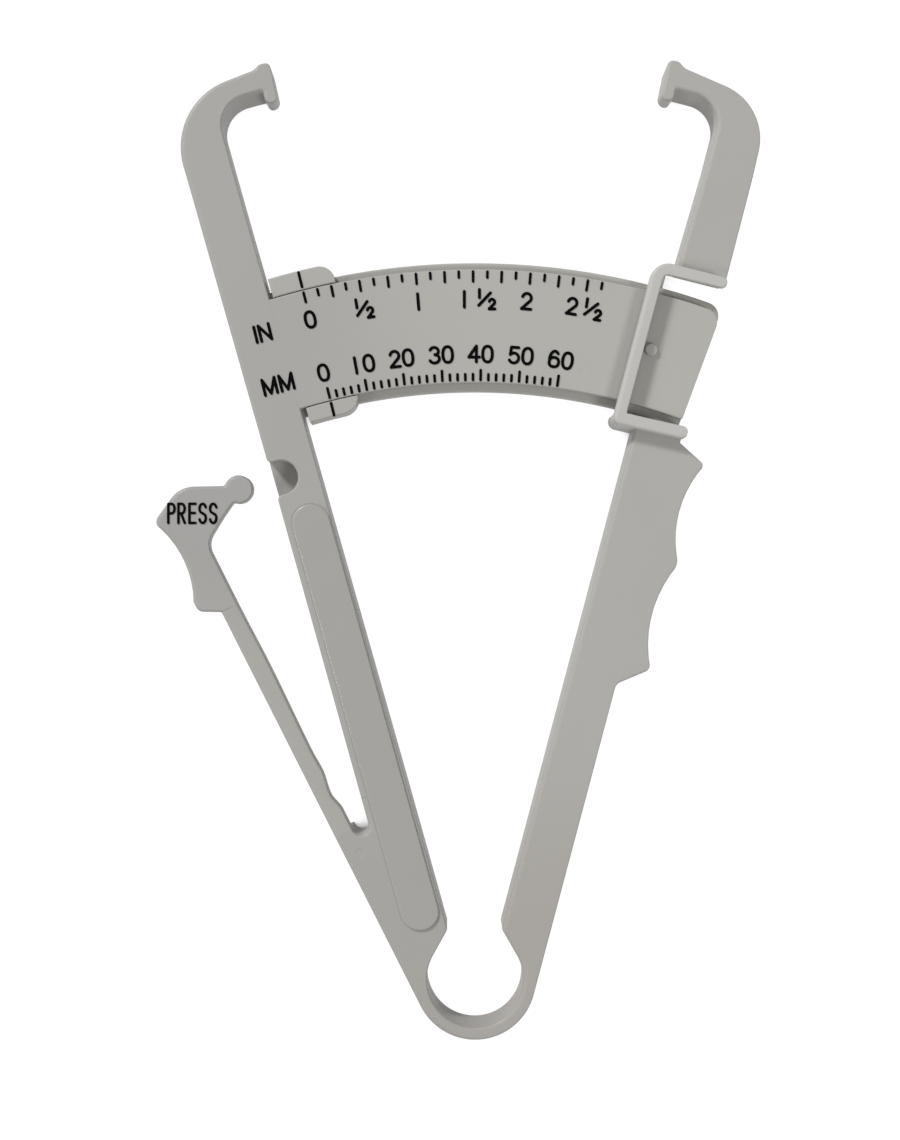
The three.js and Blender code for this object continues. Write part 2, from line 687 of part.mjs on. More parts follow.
const movingSideGroup = new THREE.Group();
movingSideGroup.add(
  movingRoot(),
  gripArm(),
  windowBar('lower_bar', lowerWindowEdge, lowerWindowEdge, -FRAME_BAR_WIDTH, FRAME_END_RADIUS),
  bridge('front_bridge', upperWindowEdge, BODY_DEPTH + FRAME_FACE_GAP, BODY_DEPTH + FRAME_RISE),
  bridge('rear_bridge', upperArmEnd, 0, RAIL_BOTTOM - FRAME_FACE_GAP),
  windowBar('upper_bar', upperWindowEdge, upperArmEnd, FRAME_BAR_WIDTH, FRAME_CORNER_RADIUS),
  upperArm(),
  hook('moving_jaw', MOVING_BEARING, 1, MOVING_HOOK_RADIUS),
  pad('moving_pad', MOVING_BEARING, 1),
);

const leverGroup = new THREE.Group();
leverGroup.add(leverBeam(), thumbPad(), clickBall());

caliper.add(fixedSideGroup, movingSideGroup, leverGroup, slider());

// The origin is the middle of the flat underside of the whole caliper
const bounds = new THREE.Box3().setFromObject(caliper);
const middle = bounds.getCenter(new THREE.Vector3());
caliper.position.set(-middle.x, -middle.y, -bounds.min.z);
caliper.updateMatrixWorld(true);

export default caliper;
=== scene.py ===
"""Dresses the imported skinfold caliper: seamless moulded plastic, black raised figures, a studio.

Sizes are in millimetres about the spring's centre, which is the arms' hinge. Bearings are in degrees,
clockwise from the way the jaws point. Every mesh is worked out there and then moved into the part's frame.
"""

from __future__ import annotations

import copy
import json
import logging
import math
from dataclasses import dataclass, field
from enum import Enum
from typing import Any, Sequence

import bpy
import numpy as np
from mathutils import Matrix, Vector

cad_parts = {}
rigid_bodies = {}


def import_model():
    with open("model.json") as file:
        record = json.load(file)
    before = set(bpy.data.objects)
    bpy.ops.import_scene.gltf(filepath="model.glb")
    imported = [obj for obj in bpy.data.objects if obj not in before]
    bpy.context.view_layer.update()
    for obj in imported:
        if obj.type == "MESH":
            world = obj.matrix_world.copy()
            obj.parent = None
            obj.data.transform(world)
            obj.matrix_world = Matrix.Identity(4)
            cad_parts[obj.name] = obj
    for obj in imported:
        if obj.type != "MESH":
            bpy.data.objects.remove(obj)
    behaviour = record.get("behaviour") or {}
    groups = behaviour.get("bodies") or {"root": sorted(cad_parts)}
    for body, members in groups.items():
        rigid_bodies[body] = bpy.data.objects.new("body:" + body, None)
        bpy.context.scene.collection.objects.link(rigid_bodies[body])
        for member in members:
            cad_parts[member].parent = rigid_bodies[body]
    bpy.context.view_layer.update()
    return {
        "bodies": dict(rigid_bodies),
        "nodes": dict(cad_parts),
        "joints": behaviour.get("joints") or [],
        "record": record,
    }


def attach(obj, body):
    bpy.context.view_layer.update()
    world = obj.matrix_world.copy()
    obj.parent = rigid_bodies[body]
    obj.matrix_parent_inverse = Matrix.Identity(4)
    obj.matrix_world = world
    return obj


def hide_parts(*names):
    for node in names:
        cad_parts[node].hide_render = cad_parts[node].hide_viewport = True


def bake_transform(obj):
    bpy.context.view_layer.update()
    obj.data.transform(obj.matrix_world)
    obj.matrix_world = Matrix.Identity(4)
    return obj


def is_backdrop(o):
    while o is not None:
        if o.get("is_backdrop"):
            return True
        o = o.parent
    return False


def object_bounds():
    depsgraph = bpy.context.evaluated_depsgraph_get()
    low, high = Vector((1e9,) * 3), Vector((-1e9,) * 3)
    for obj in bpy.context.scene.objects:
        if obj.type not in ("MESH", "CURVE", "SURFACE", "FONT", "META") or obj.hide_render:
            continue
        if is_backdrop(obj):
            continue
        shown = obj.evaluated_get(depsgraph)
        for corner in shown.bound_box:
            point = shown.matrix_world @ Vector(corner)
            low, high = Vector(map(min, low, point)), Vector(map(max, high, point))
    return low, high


Array = np.ndarray
log = logging.getLogger("caliper")

MILLIMETRES = 1000.0

# Rounds: the most degrees between two points, the steps in a rounded edge, the fewest points of a curve, and
# the share of a side that its two corners may use. A corner that turns by less than NEARLY_STRAIGHT radians
# stays a point, and SKEW_FLOOR holds the points of a curve in place where its sides are nearly in line.
ROUND_STEP = 6.0
BORE_STEP = 4.0
EDGE_STEPS = 4
LEAST_BOW = 5
LEAST_FILLET = 4
CORNER_SHARE = 0.98
NEARLY_STRAIGHT = 0.02
COUNT_SLACK = 1e-6
SKEW_FLOOR = 0.15

# How much wider an edge's round is where it looks to the left, and how much narrower where to the right.
LEFT_SOFTNESS = 0.7
RIGHT_SHARPNESS = 0.55

# Raised strokes: where their round ends have stations, how far their shoulders drop, how wide their top is.
CAP_SHARES = np.array([0.03, 0.2, 0.55])
SHOULDER_DROP = 0.35
TOP_SHARE = 0.8

# Edges that turn by more degrees than this stay sharp.
SHARP_ANGLE = 38.0

Glyphs = tuple[tuple[str, float], ...]


class Body(Enum):
    """The CAD bodies that the pieces ride on."""

    FIXED = "fixed_side"
    MOVING = "moving_side"
    MARKER = "marker"
    LEVER = "thumb_lever"


class Slot(Enum):
    """The record's material slots."""

    BODY = "body_plastic"
    SCALE = "scale_plastic"
    SLIDER = "slider_plastic"
    INK = "ink"


# Plane geometry about the hinge


def polar(radius: float | Array, bearing: float | Array) -> Array:
    """Points at a distance from the hinge and a bearing: across is r sin b, ahead is r cos b."""
    turn = np.radians(bearing)
    return np.stack(np.broadcast_arrays(radius * np.sin(turn), radius * np.cos(turn)), axis=-1)


@dataclass(frozen=True)
class Line:
    """All points whose distance from the hinge, measured along a bearing, is the same."""

    bearing: float
    distance: float

    def meet(self, other: "Line") -> Array:
        """The point on both lines, from the two equations normal . point = distance."""
        normals = np.stack([polar(1.0, self.bearing), polar(1.0, other.bearing)])
        return np.linalg.solve(normals, np.array([self.distance, other.distance]))

    def shifted(self, distance: float) -> "Line":
        """The same line, moved along its bearing."""
        return Line(self.bearing, self.distance + distance)


@dataclass(frozen=True)
class Limb:
    """A limb that leaves the hinge at a bearing, with its outer side to the left (-1) or right (1)."""

    bearing: float
    side: int

    @property
    def ahead(self) -> Array:
        """Unit step along the limb."""
        return polar(1.0, self.bearing)

    @property
    def outward(self) -> Array:
        """Unit step towards the limb's outer side."""
        return polar(float(self.side), self.bearing + 90)

    def at(self, along: float | Array, out: float | Array) -> Array:
        """The point that lies so far along the limb and so far out to its side."""
        along, out = np.broadcast_arrays(np.asarray(along, float), np.asarray(out, float))
        return along[..., None] * self.ahead + out[..., None] * self.outward

    def face(self, out: float) -> Line:
        """The line along the limb at a distance out from its middle."""
        return Line(self.bearing + self.side * 90, out)

    def along(self, point: Array) -> float:
        """How far along the limb a point lies."""
        return float(point @ self.ahead)


RING_LINE = Line(0.0, 0.0)


def arc(
    radius: float,
    start: float,
    end: float,
    centre: Array | None = None,
    step: float = ROUND_STEP,
) -> Array:
    """Points on an arc: centre plus radius times the direction of each bearing from start to end.

    Args:
        radius: the arc's radius.
        start: the first bearing.
        end: the last bearing.
        centre: the arc's centre, or the hinge.
        step: the most degrees between two points.

    Returns:
        The points, one a row.
    """
    count = max(2, math.ceil(abs(end - start) / step) + 1)
    points = polar(radius, np.linspace(start, end, count))
    return points if centre is None else points + centre


def bow(start: Array, end: Array, depth: float) -> Array:
    """Points on the arc from start to end whose middle stands a depth to the left of the chord.

    The radius is (half chord squared + depth squared) / (2 depth); across goes with the sine of the turn
    and the rise with its cosine.

    Args:
        start: the first point.
        end: the last point.
        depth: how far the arc bulges to the left, or to the right if negative.

    Returns:
        The points, both ends among them.
    """
    half = np.linalg.norm(end - start) / 2
    radius = (half**2 + depth**2) / (2 * abs(depth))
    way = (end - start) / (2 * half)
    left = np.array([-way[1], way[0]]) * np.sign(depth)
    sweep = math.asin(min(1.0, half / radius))
    count = max(LEAST_BOW, math.ceil(math.degrees(2 * sweep) / ROUND_STEP) + 1)
    turn = np.linspace(-sweep, sweep, count)[:, None]
    rise = radius * (np.cos(turn) - math.cos(sweep))
    return (start + end) / 2 + radius * np.sin(turn) * way + rise * left


def fillet(before: Array, corner: Array, after: Array, radius: float, room: tuple[float, float]) -> Array:
    """Points on the arc that rounds a corner and touches both of its sides.

    The touching points lie radius / tan(half the angle) from the corner, held to the room on each side, and
    the centre lies on the corner's bisector.

    Args:
        before: the point before the corner.
        corner: the corner.
        after: the point after it.
        radius: the arc's radius.
        room: the share of each side that the arc may use.

    Returns:
        The points, or the corner alone where it is nearly straight.
    """
    back = np.linalg.norm(before - corner)
    on = np.linalg.norm(after - corner)
    to_before = (before - corner) / back
    to_after = (after - corner) / on
    angle = math.acos(float(np.clip(to_before @ to_after, -1, 1)))
    if angle > math.pi - NEARLY_STRAIGHT:
        return corner[None, :]
    tangent = min(radius / math.tan(angle / 2), room[0] * back, room[1] * on)
    radius = tangent * math.tan(angle / 2)
    bisector = (to_before + to_after) / np.linalg.norm(to_before + to_after)
    centre = corner + bisector * radius / math.sin(angle / 2)
    first = corner + to_before * tangent - centre
    last = corner + to_after * tangent - centre
    start = math.atan2(first[1], first[0])
    sweep = (math.atan2(last[1], last[0]) - start + math.pi) % (2 * math.pi) - math.pi
    count = max(LEAST_FILLET, math.ceil(abs(math.degrees(sweep)) / ROUND_STEP - COUNT_SLACK) + 1)
    turn = np.linspace(start, start + sweep, count)
    return centre + radius * np.stack([np.cos(turn), np.sin(turn)], axis=1)


@dataclass(frozen=True)
class Run:
    """A stretch of an outline: one corner, which may be rounded, or the points of a curve.

    seam says that the side after the run's last point touches another section of the moulding: it keeps
    its edge sharp and its place. soft widens or narrows the edges' round along the run's sides.
    """

    points: Array
    radius: float = 0.0
    seam: bool = False
    soft: float = 1.0


def corner(point: Array, radius: float = 0.0, seam: bool = False, soft: float = 1.0) -> Run:
    """A run of one corner."""
    return Run(np.asarray(point, float)[None, :], radius, seam, soft)


def softness(normal: Array) -> Array:
    """How wide an edge's round is: more than 1 where its side looks to the left, less to the right."""
    across = normal[..., 0]
    return 1 - LEFT_SOFTNESS * np.minimum(across, 0) - RIGHT_SHARPNESS * np.maximum(across, 0)


class Outline:
    """A closed outline that runs anticlockwise, with the width of each side's edge round."""

    def __init__(self, runs: Sequence[Run]) -> None:
        """Joins the runs, rounds their corners and turns the outline anticlockwise.

        Args:
            runs: the outline's stretches in order.
        """
        points: list[Array] = []
        soft: list[Array] = []
        for index, run in enumerate(runs):
            shape = self._shaped(runs, index) if run.radius > 0 else run.points
            widths = np.full(len(shape), run.soft)
            if run.seam:
                widths[-1] = 0.0
            points.append(shape)
            soft.append(widths)
        self.points = np.concatenate(points)
        self.soft = np.concatenate(soft)
        following = np.roll(self.points, -1, axis=0)
        area = np.sum(self.points[:, 0] * following[:, 1] - self.points[:, 1] * following[:, 0])
        if area < 0:
            self.points = self.points[::-1].copy()
            self.soft = np.roll(self.soft[::-1], -1)

    def moved(self, points: Array) -> "Outline":
        """The same sides with their points elsewhere.

        Args:
            points: the new points, as many.

        Returns:
            The moved outline.
        """
        other = copy.copy(self)
        other.points = points
        return other

    @staticmethod
    def _shaped(runs: Sequence[Run], index: int) -> Array:
        """The rounded form of one corner, which shares a side with a rounded neighbour.

        Args:
            runs: the outline's stretches in order.
            index: the corner's place among them.

        Returns:
            The corner's points.
        """
        before, run = runs[index - 1], runs[index]
        after = runs[(index + 1) % len(runs)]
        room = tuple(CORNER_SHARE * run.radius / (run.radius + other.radius) for other in (before, after))
        return fillet(before.points[-1], run.points[0], after.points[0], run.radius, room)

    def mitre(self) -> Array:
        """How each point moves when the free sides move in by one millimetre.

        The move v solves v . n1 = -w1 and v . n2 = -w2 for the outward normals of the two sides, where w is
        the side's softness, and 0 for a seam. It is a (n1 + n2) + b (n1 - n2). Where the sides are nearly in
        line, the small b keeps the points of a curve from sliding past each other.

        Returns:
            One step for each point.
        """
        way = np.roll(self.points, -1, axis=0) - self.points
        way /= np.linalg.norm(way, axis=1, keepdims=True)
        normal = np.stack([way[:, 1], -way[:, 0]], axis=1)
        before = np.roll(normal, 1, axis=0)
        weight = self.soft * softness(normal)
        weight_before = np.roll(weight, 1)
        cosine = np.sum(normal * before, axis=1)
        level = -(weight + weight_before) / 2 / (1 + cosine)
        skew = (weight_before - weight) / 2 / np.maximum(1 - cosine, SKEW_FLOOR)
        return level[:, None] * (normal + before) + skew[:, None] * (normal - before)


# Solids


@dataclass
class Shell:
    """A closed surface: points in millimetres about the hinge, and faces that look outwards."""

    points: Array
    faces: list[list[int]]

    @staticmethod
    def joined(shells: Sequence["Shell"]) -> "Shell":
        """Several shells as one.

        Args:
            shells: the shells.

        Returns:
            A shell of all their points and faces.
        """
        faces: list[list[int]] = []
        start = 0
        for shell in shells:
            faces.extend([[index + start for index in face] for face in shell.faces])
            start += len(shell.points)
        return Shell(np.concatenate([shell.points for shell in shells]), faces)


def grid_faces(rows: int, columns: int, flip: bool = False, looped: bool = False) -> list[list[int]]:
    """Four-sided faces between the neighbouring rows of a grid of points, each of which closes on itself.

    Args:
        rows: how many rows the grid has.
        columns: how many points are in a row.
        flip: whether the faces look the other way.
        looped: whether the last row meets the first.

    Returns:
        The faces.
    """
    index = np.arange(rows if looped else rows - 1)[:, None]
    row = index * columns
    above = (index + 1) % rows * columns
    column = np.arange(columns)[None, :]
    following = (column + 1) % columns
    faces = np.stack([row + column, row + following, above + following, above + column], axis=-1)
    faces = faces.reshape(-1, 4)
    return (faces[:, ::-1] if flip else faces).tolist()


def swept(sections: Array, flip: bool = False) -> Shell:
    """A closed shell through sections of as many points, with its first and last section filled.

    Args:
        sections: points by section, by place on its closed edge, and by coordinate.
        flip: whether the sections run the other way round.

    Returns:
        The closed shell.
    """
    rows, columns = sections.shape[:2]
    first = list(range(columns))
    last = [(rows - 1) * columns + index for index in first]
    caps = [first, last[::-1]] if flip else [first[::-1], last]
    return Shell(sections.reshape(-1, 3), grid_faces(rows, columns, flip) + caps)


def at_heights(plan: Array, height: Array) -> Array:
    """Flat sections given their heights, which are the same at each station."""
    return np.concatenate([plan, np.broadcast_to(height[None, :, None], (*plan.shape[:2], 1))], axis=2)


def edge_rows(bottom: float, top: float, lower: float, upper: float, steps: int = EDGE_STEPS) -> Array:
    """The inset and height of each level of a slab: a quarter round, an upright wall and a quarter round.

    Over the turn a from 0 to 90 degrees, the lower round's inset is lower (1 - sin a) at a height of
    bottom + lower (1 - cos a), and the upper round is its mirror image.

    Args:
        bottom: the lowest level.
        top: the highest level.
        lower: the radius of the lower edge, or 0.
        upper: the radius of the upper edge, or 0.
        steps: how many steps each quarter round has.

    Returns:
        Rows of inset and height, from the bottom up.
    """
    turn = np.linspace(0, math.pi / 2, steps + 1)
    low = np.stack([lower * (1 - np.sin(turn)), bottom + lower * (1 - np.cos(turn))], axis=1)
    high = np.stack([upper * (1 - np.cos(turn)), top - upper * (1 - np.sin(turn))], axis=1)
    return np.concatenate([low if lower > 0 else low[:1], high if upper > 0 else high[:1]])


def slab(
    outline: Outline,
    bottom: float,
    top: float,
    lower: float = 0.0,
    upper: float = 0.0,
    steps: int = EDGE_STEPS,
) -> Shell:
    """A flat moulding: each point of the outline moves in along its mitre by the inset of each level.

    Args:
        outline: the widest outline.
        bottom: the underside's height.
        top: the front face's height.
        lower: the lower edge's radius.
        upper: the upper edge's radius.
        steps: how many steps round an edge.

    Returns:
        The closed shell.
    """
    return stacked([(outline, edge_rows(bottom, top, lower, upper, steps))])


def stacked(layers: Sequence[tuple[Outline, Array]]) -> Shell:
    """A closed shell through one or more outlines of as many points, one above the other.

    Args:
        layers: each outline with the inset and height of its levels, from the bottom up.

    Returns:
        The closed shell.
    """
    levels = [
        np.column_stack([outline.points + inset * outline.mitre(), np.full(len(outline.points), height)])
        for outline, rows in layers
        for inset, height in rows
    ]
    return swept(np.stack(levels))


def drafted(lower: Outline, upper: Outline) -> Shell:
    """A shell as deep as the caliper, whose walls lean from one outline to another of as many points.

    Args:
        lower: the outline near the underside.
        upper: the outline near the front.

    Returns:
        The closed shell.
    """
    low = edge_rows(0.0, SIZES.draft_ease, SIZES.edge, 0.0)
    high = edge_rows(SIZES.depth - SIZES.draft_ease, SIZES.depth, 0.0, SIZES.edge)
    return stacked([(lower, low), (upper, high)])


def band(inner: Array, outer: Array, bottom: float, top: float, edge: float) -> Shell:
    """A rounded bar's section, carried along two edges, with a flat seam at each end.

    At each station the section's points lie an inset in from one edge or the other, on the line between.

    Args:
        inner: one edge's points.
        outer: the other edge's points, as many.
        bottom: the underside's height.
        top: the front face's height.
        edge: the radius of the section's four corners.

    Returns:
        The closed shell.
    """
    turn = np.linspace(0, math.pi / 2, EDGE_STEPS + 1)
    out_of = edge * (1 - np.cos(turn))
    in_to = edge * (1 - np.sin(turn))
    inset = np.concatenate([out_of, in_to, out_of, in_to])
    height = np.concatenate([bottom + in_to, bottom + out_of, top - in_to, top - out_of])
    from_outer = np.repeat([False, True, True, False], EDGE_STEPS + 1)
    across = outer - inner
    across /= np.linalg.norm(across, axis=1, keepdims=True)
    near_inset = softness(-across)[:, None] * inset
    far_inset = softness(across)[:, None] * inset
    near = inner[:, None, :] + near_inset[:, :, None] * across[:, None, :]
    far = outer[:, None, :] - far_inset[:, :, None] * across[:, None, :]
    plan = np.where(from_outer[None, :, None], far, near)
    middle = len(inner) // 2
    way = inner[middle] - inner[middle - 1]
    flip = bool(across[middle, 0] * way[1] - across[middle, 1] * way[0] > 0)
    return swept(at_heights(plan, height), flip)


def stroke(centre: Array, width: float, bottom: float, top: float, closed: bool = False) -> Shell:
    """A raised pen stroke with round ends: a low section with soft shoulders, carried along a line.

    The half width follows the square root of (1 - (1 - s) squared) over the first and last half width s.

    Args:
        centre: the line's points.
        width: the stroke's width.
        bottom: the height that it grows from.
        top: its top's height.
        closed: whether the line closes on itself.

    Returns:
        The closed shell.
    """
    half = width / 2
    if closed:
        line = centre
        reach = np.full(len(line), half)
        way = np.roll(line, -1, axis=0) - np.roll(line, 1, axis=0)
    else:
        first = (centre[1] - centre[0]) / np.linalg.norm(centre[1] - centre[0])
        last = (centre[-1] - centre[-2]) / np.linalg.norm(centre[-1] - centre[-2])
        head = centre[0] - first * half * (1 - CAP_SHARES[:, None])
        tail = centre[-1] + last * half * (1 - CAP_SHARES[::-1, None])
        line = np.concatenate([head, centre, tail])
        cap = half * np.sqrt(1 - (1 - CAP_SHARES) ** 2)
        reach = np.concatenate([cap, np.full(len(centre), half), cap[::-1]])
        way = np.gradient(line, axis=0)
    way /= np.linalg.norm(way, axis=1, keepdims=True)
    side = np.stack([-way[:, 1], way[:, 0]], axis=1)
    shoulder = top - (top - bottom) * SHOULDER_DROP
    across = np.array([-1.0, 1.0, 1.0, TOP_SHARE, -TOP_SHARE, -1.0])
    height = np.array([bottom, bottom, shoulder, top, top, shoulder])
    plan = line[:, None, :] + (reach[:, None] * across[None, :])[:, :, None] * side[:, None, :]
    sections = at_heights(plan, height)
    if closed:
        return Shell(sections.reshape(-1, 3), grid_faces(len(line), len(across), looped=True))
    return swept(sections)


# Finishes


class Wire:
    """A shader socket that takes part in sums, each of which adds its Math node."""

    def __init__(self, bench: "Bench", socket: bpy.types.NodeSocket) -> None:
        """Keeps the socket and the bench that its nodes go on."""
        self.bench = bench
        self.socket = socket

    def _sum(self, operation: str, *values: Any) -> "Wire":
        """One Math node on these values."""
        return self.bench.node("ShaderNodeMath", {"operation": operation}, dict(enumerate(values)))

    def __add__(self, other: Any) -> "Wire":
        """This plus other."""
        return self._sum("ADD", self, other)

    def __radd__(self, other: Any) -> "Wire":
        """Other plus this."""
        return self._sum("ADD", other, self)

    def __sub__(self, other: Any) -> "Wire":
        """This minus other."""
        return self._sum("SUBTRACT", self, other)

    def __rsub__(self, other: Any) -> "Wire":
        """Other minus this."""
        return self._sum("SUBTRACT", other, self)

    def __mul__(self, other: Any) -> "Wire":
        """This times other."""
        return self._sum("MULTIPLY", self, other)

    def __rmul__(self, other: Any) -> "Wire":
        """Other times this."""
        return self._sum("MULTIPLY", other, self)

    def ramp(self, low: float, high: float) -> "Wire":
        """A smooth step from 0 at low to 1 at high."""
        settings = {"interpolation_type": "SMOOTHSTEP", "clamp": True}
        return self.bench.node("ShaderNodeMapRange", settings, {0: self, 1: low, 2: high, 3: 0.0, 4: 1.0})


@dataclass(frozen=True)
class Pattern:
    """A noise: its features' size in metres, how many finer octaves it has, and where it starts."""

    size: float
    detail: float
    seed: float


class Bench:
    """The node tree of one material, and the one way of adding a node to it."""

    def __init__(self, name: str) -> None:
        """Starts an empty material.

        Args:
            name: the material's name.
        """
        self.material = bpy.data.materials.new(name)
        self.material.use_nodes = True
        self.tree = self.material.node_tree
        self.tree.nodes.clear()

    def node(
        self,
        kind: str,
        settings: dict[str, Any] | None = None,
        values: dict[Any, Any] | None = None,
        out: Any = 0,
    ) -> Wire:
        """Adds a node, sets it up and feeds its sockets.

        Args:
            kind: the node's type.
            settings: the node's own settings, which come first.
            values: a value or a wire for each socket, by name or number.
            out: the output that the answer stands for.

        Returns:
            The chosen output as a wire.
        """
        node = self.tree.nodes.new(kind)
        for name, value in (settings or {}).items():
            setattr(node, name, value)
        for name, value in (values or {}).items():
            if isinstance(value, Wire):
                self.tree.links.new(value.socket, node.inputs[name])
            else:
                node.inputs[name].default_value = value
        socket = node.outputs[out] if node.outputs else None
        return Wire(self, socket)

    def place(self) -> Wire:
        """Object coordinates, which are the part's own metres."""
        return self.node("ShaderNodeTexCoord", out="Object")

    def noise(self, place: Wire, pattern: Pattern) -> Wire:
        """Noise between 0 and 1.

        Args:
            place: the coordinates.
            pattern: the noise's features.

        Returns:
            The noise.
        """
        values = {"Vector": place, "Scale": 1.0 / pattern.size, "Detail": pattern.detail, "W": pattern.seed}
        return self.node("ShaderNodeTexNoise", {"noise_dimensions": "4D"}, values)

    def mixed(self, share: Wire | float, first: Any, second: Any, way: str = "MIX") -> Wire:
        """A colour from one to another, by a share from 0 to 1 and a way of mixing.

        Args:
            share: how much of the second counts.
            first: the first colour.
            second: the second colour.
            way: how the second colour acts on the first.

        Returns:
            The colour.
        """
        settings = {"data_type": "RGBA", "blend_type": way}
        return self.node("ShaderNodeMix", settings, {0: share, 6: first, 7: second}, out=2)

    def bump(self, height: Wire, strength: float, depth: float) -> Wire:
        """The surface's normal over heights from 0 to 1 that stand for a depth in metres."""
        return self.node("ShaderNodeBump", None, {"Strength": strength, "Distance": depth, "Height": height})

    def surfaced(self, kind: str, values: dict[Any, Any]) -> bpy.types.Material:
        """Adds the shader and the output that it feeds.

        Args:
            kind: the shader node's type.
            values: a value or a wire for each of its sockets.

        Returns:
            The finished material.
        """
        self.node("ShaderNodeOutputMaterial", None, {"Surface": self.node(kind, None, values)})
        return self.material


def linear(colour: tuple[int, int, int]) -> tuple[float, float, float, float]:
    """A colour written in the usual 0 to 255 numbers, as the light that it stands for by the sRGB curve.

    Args:
        colour: its red, green and blue.

    Returns:
        The light of each, and full cover.
    """
    scaled = [channel / 255 for channel in colour]
    light = [s / 12.92 if s <= 0.04045 else ((s + 0.055) / 1.055) ** 2.4 for s in scaled]
    return (light[0], light[1], light[2], 1.0)


@dataclass(frozen=True)
class MouldedPlastic:
    """Warm grey moulded plastic with a soft gloss: slow drifts of shade and a faint grain.

    The colour goes over into the far colour along one axis of the part, from far_start to far_end in metres.
    This change of tone is painted light: it stands in for the uneven light across the caliper, as where
    the arms darken towards the root.
    Where the drift and the cloud are strong it is multiplied by the stain. Each ejector mark is a shallow
    round dimple: its place across, its place along and its radius. face_weight says how far the normals lean
    on large faces, from 1 to 100, or 0 for not at all.
    """

    name: str
    slot: Slot
    colour: tuple[int, int, int]
    far_colour: tuple[int, int, int]
    axis: str = "Y"
    far_start: float = -0.030
    far_end: float = -0.068
    drift: Pattern = Pattern(0.022, 3.0, 1.3)
    cloud: Pattern = Pattern(0.006, 2.0, 4.1)
    scuff: Pattern = Pattern(0.0018, 3.0, 7.7)
    grain: Pattern = Pattern(0.0003, 2.0, 2.9)
    wave: Pattern = Pattern(0.004, 1.0, 9.0)
    stain: tuple[float, float, float, float] = (0.93, 0.925, 0.915, 1.0)
    drift_share: float = 0.6
    cloud_share: float = 0.3
    roughness: float = 0.54
    drift_roughness: float = 0.06
    scuff_roughness: float = 0.05
    grain_height: float = 0.05
    wave_height: float = 0.6
    bump_strength: float = 0.35
    bump_depth: float = 0.00012
    refraction: float = 1.5
    specular: float = 0.34
    gloss: float = 0.08
    gloss_roughness: float = 0.2
    ejector_marks: tuple[tuple[float, float, float], ...] = ()
    mark_floor: float = 0.6
    mark_depth: float = 1800.0
    face_weight: int = 60

    def material(self) -> bpy.types.Material:
        """Builds the shader.

        Returns:
            The material.
        """
        bench = Bench(self.name)
        place = bench.place()
        drift = bench.noise(place, self.drift)
        reach = bench.node("ShaderNodeSeparateXYZ", None, {0: place}, out=self.axis)
        # Painted light: along one axis the colour drifts to a second colour that stands in for uneven light
        # on the part.
        far = reach.ramp(self.far_start, self.far_end)
        shade = bench.mixed(far, linear(self.colour), linear(self.far_colour))
        stained = bench.mixed(1.0, shade, self.stain, "MULTIPLY")
        share = drift * self.drift_share + bench.noise(place, self.cloud) * self.cloud_share
        worn = bench.noise(place, self.scuff) * self.scuff_roughness
        grain = bench.noise(place, self.grain) * self.grain_height
        height = self._marked(bench, place, grain + bench.noise(place, self.wave) * self.wave_height)
        return bench.surfaced("ShaderNodeBsdfPrincipled", {
            "Base Color": bench.mixed(share, shade, stained),
            "Roughness": self.roughness + (drift - 0.5) * self.drift_roughness + worn,
            "Normal": bench.bump(height, self.bump_strength, self.bump_depth),
            "IOR": self.refraction,
            "Specular IOR Level": self.specular,
            "Coat Weight": self.gloss,
            "Coat Roughness": self.gloss_roughness,
        })

    def _marked(self, bench: Bench, place: Wire, height: Wire) -> Wire:
        """Adds the round marks that the mould's ejector pins leave, as shallow dimples.

        A mark's height is a smooth step of the distance from its middle, over the outer part of its radius.

        Args:
            bench: the material's bench.
            place: the coordinates.
            height: the surface's height so far.

        Returns:
            The height with the marks.
        """
        flat = bench.node("ShaderNodeVectorMath", {"operation": "MULTIPLY"}, {0: place, 1: (1.0, 1.0, 0.0)})
        for x, y, radius in self.ejector_marks:
            middle = {0: flat, 1: (x, y, 0.0)}
            away = bench.node("ShaderNodeVectorMath", {"operation": "DISTANCE"}, middle, out="Value")
            height = height + away.ramp(radius * self.mark_floor, radius) * (radius * self.mark_depth)
        return height


@dataclass(frozen=True)
class PrintedInk:
    """Black print on raised strokes, a little uneven in gloss. Its strokes keep their own normals."""

    name: str = "black_print"
    slot: Slot = Slot.INK
    colour: tuple[int, int, int] = (3, 3, 4)
    worn_colour: tuple[int, int, int] = (10, 10, 10)
    patch: Pattern = Pattern(0.0007, 2.0, 5.0)
    roughness: float = 0.6
    patch_roughness: float = 0.15
    bump_strength: float = 0.2
    bump_depth: float = 0.00005
    refraction: float = 1.45
    specular: float = 0.05
    face_weight: int = 0

    def material(self) -> bpy.types.Material:
        """Builds the shader.

        Returns:
            The material.
        """
        bench = Bench(self.name)
        patch = bench.noise(bench.place(), self.patch)
        return bench.surfaced("ShaderNodeBsdfPrincipled", {
            "Base Color": bench.mixed(patch, linear(self.colour), linear(self.worn_colour)),
            "Roughness": self.roughness + patch * self.patch_roughness,
            "Normal": bench.bump(patch, self.bump_strength, self.bump_depth),
            "IOR": self.refraction,
            "Specular IOR Level": self.specular,
        })


Finish = MouldedPlastic | PrintedInk


def add_object(name: str, data: bpy.types.ID) -> bpy.types.Object:
    """Puts a new object into the scene.

    Args:
        name: its name.
        data: its mesh, lamp or camera.

    Returns:
        The object, at the origin.
    """
    made = bpy.data.objects.new(name, data)
    bpy.context.scene.collection.objects.link(made)
    return made


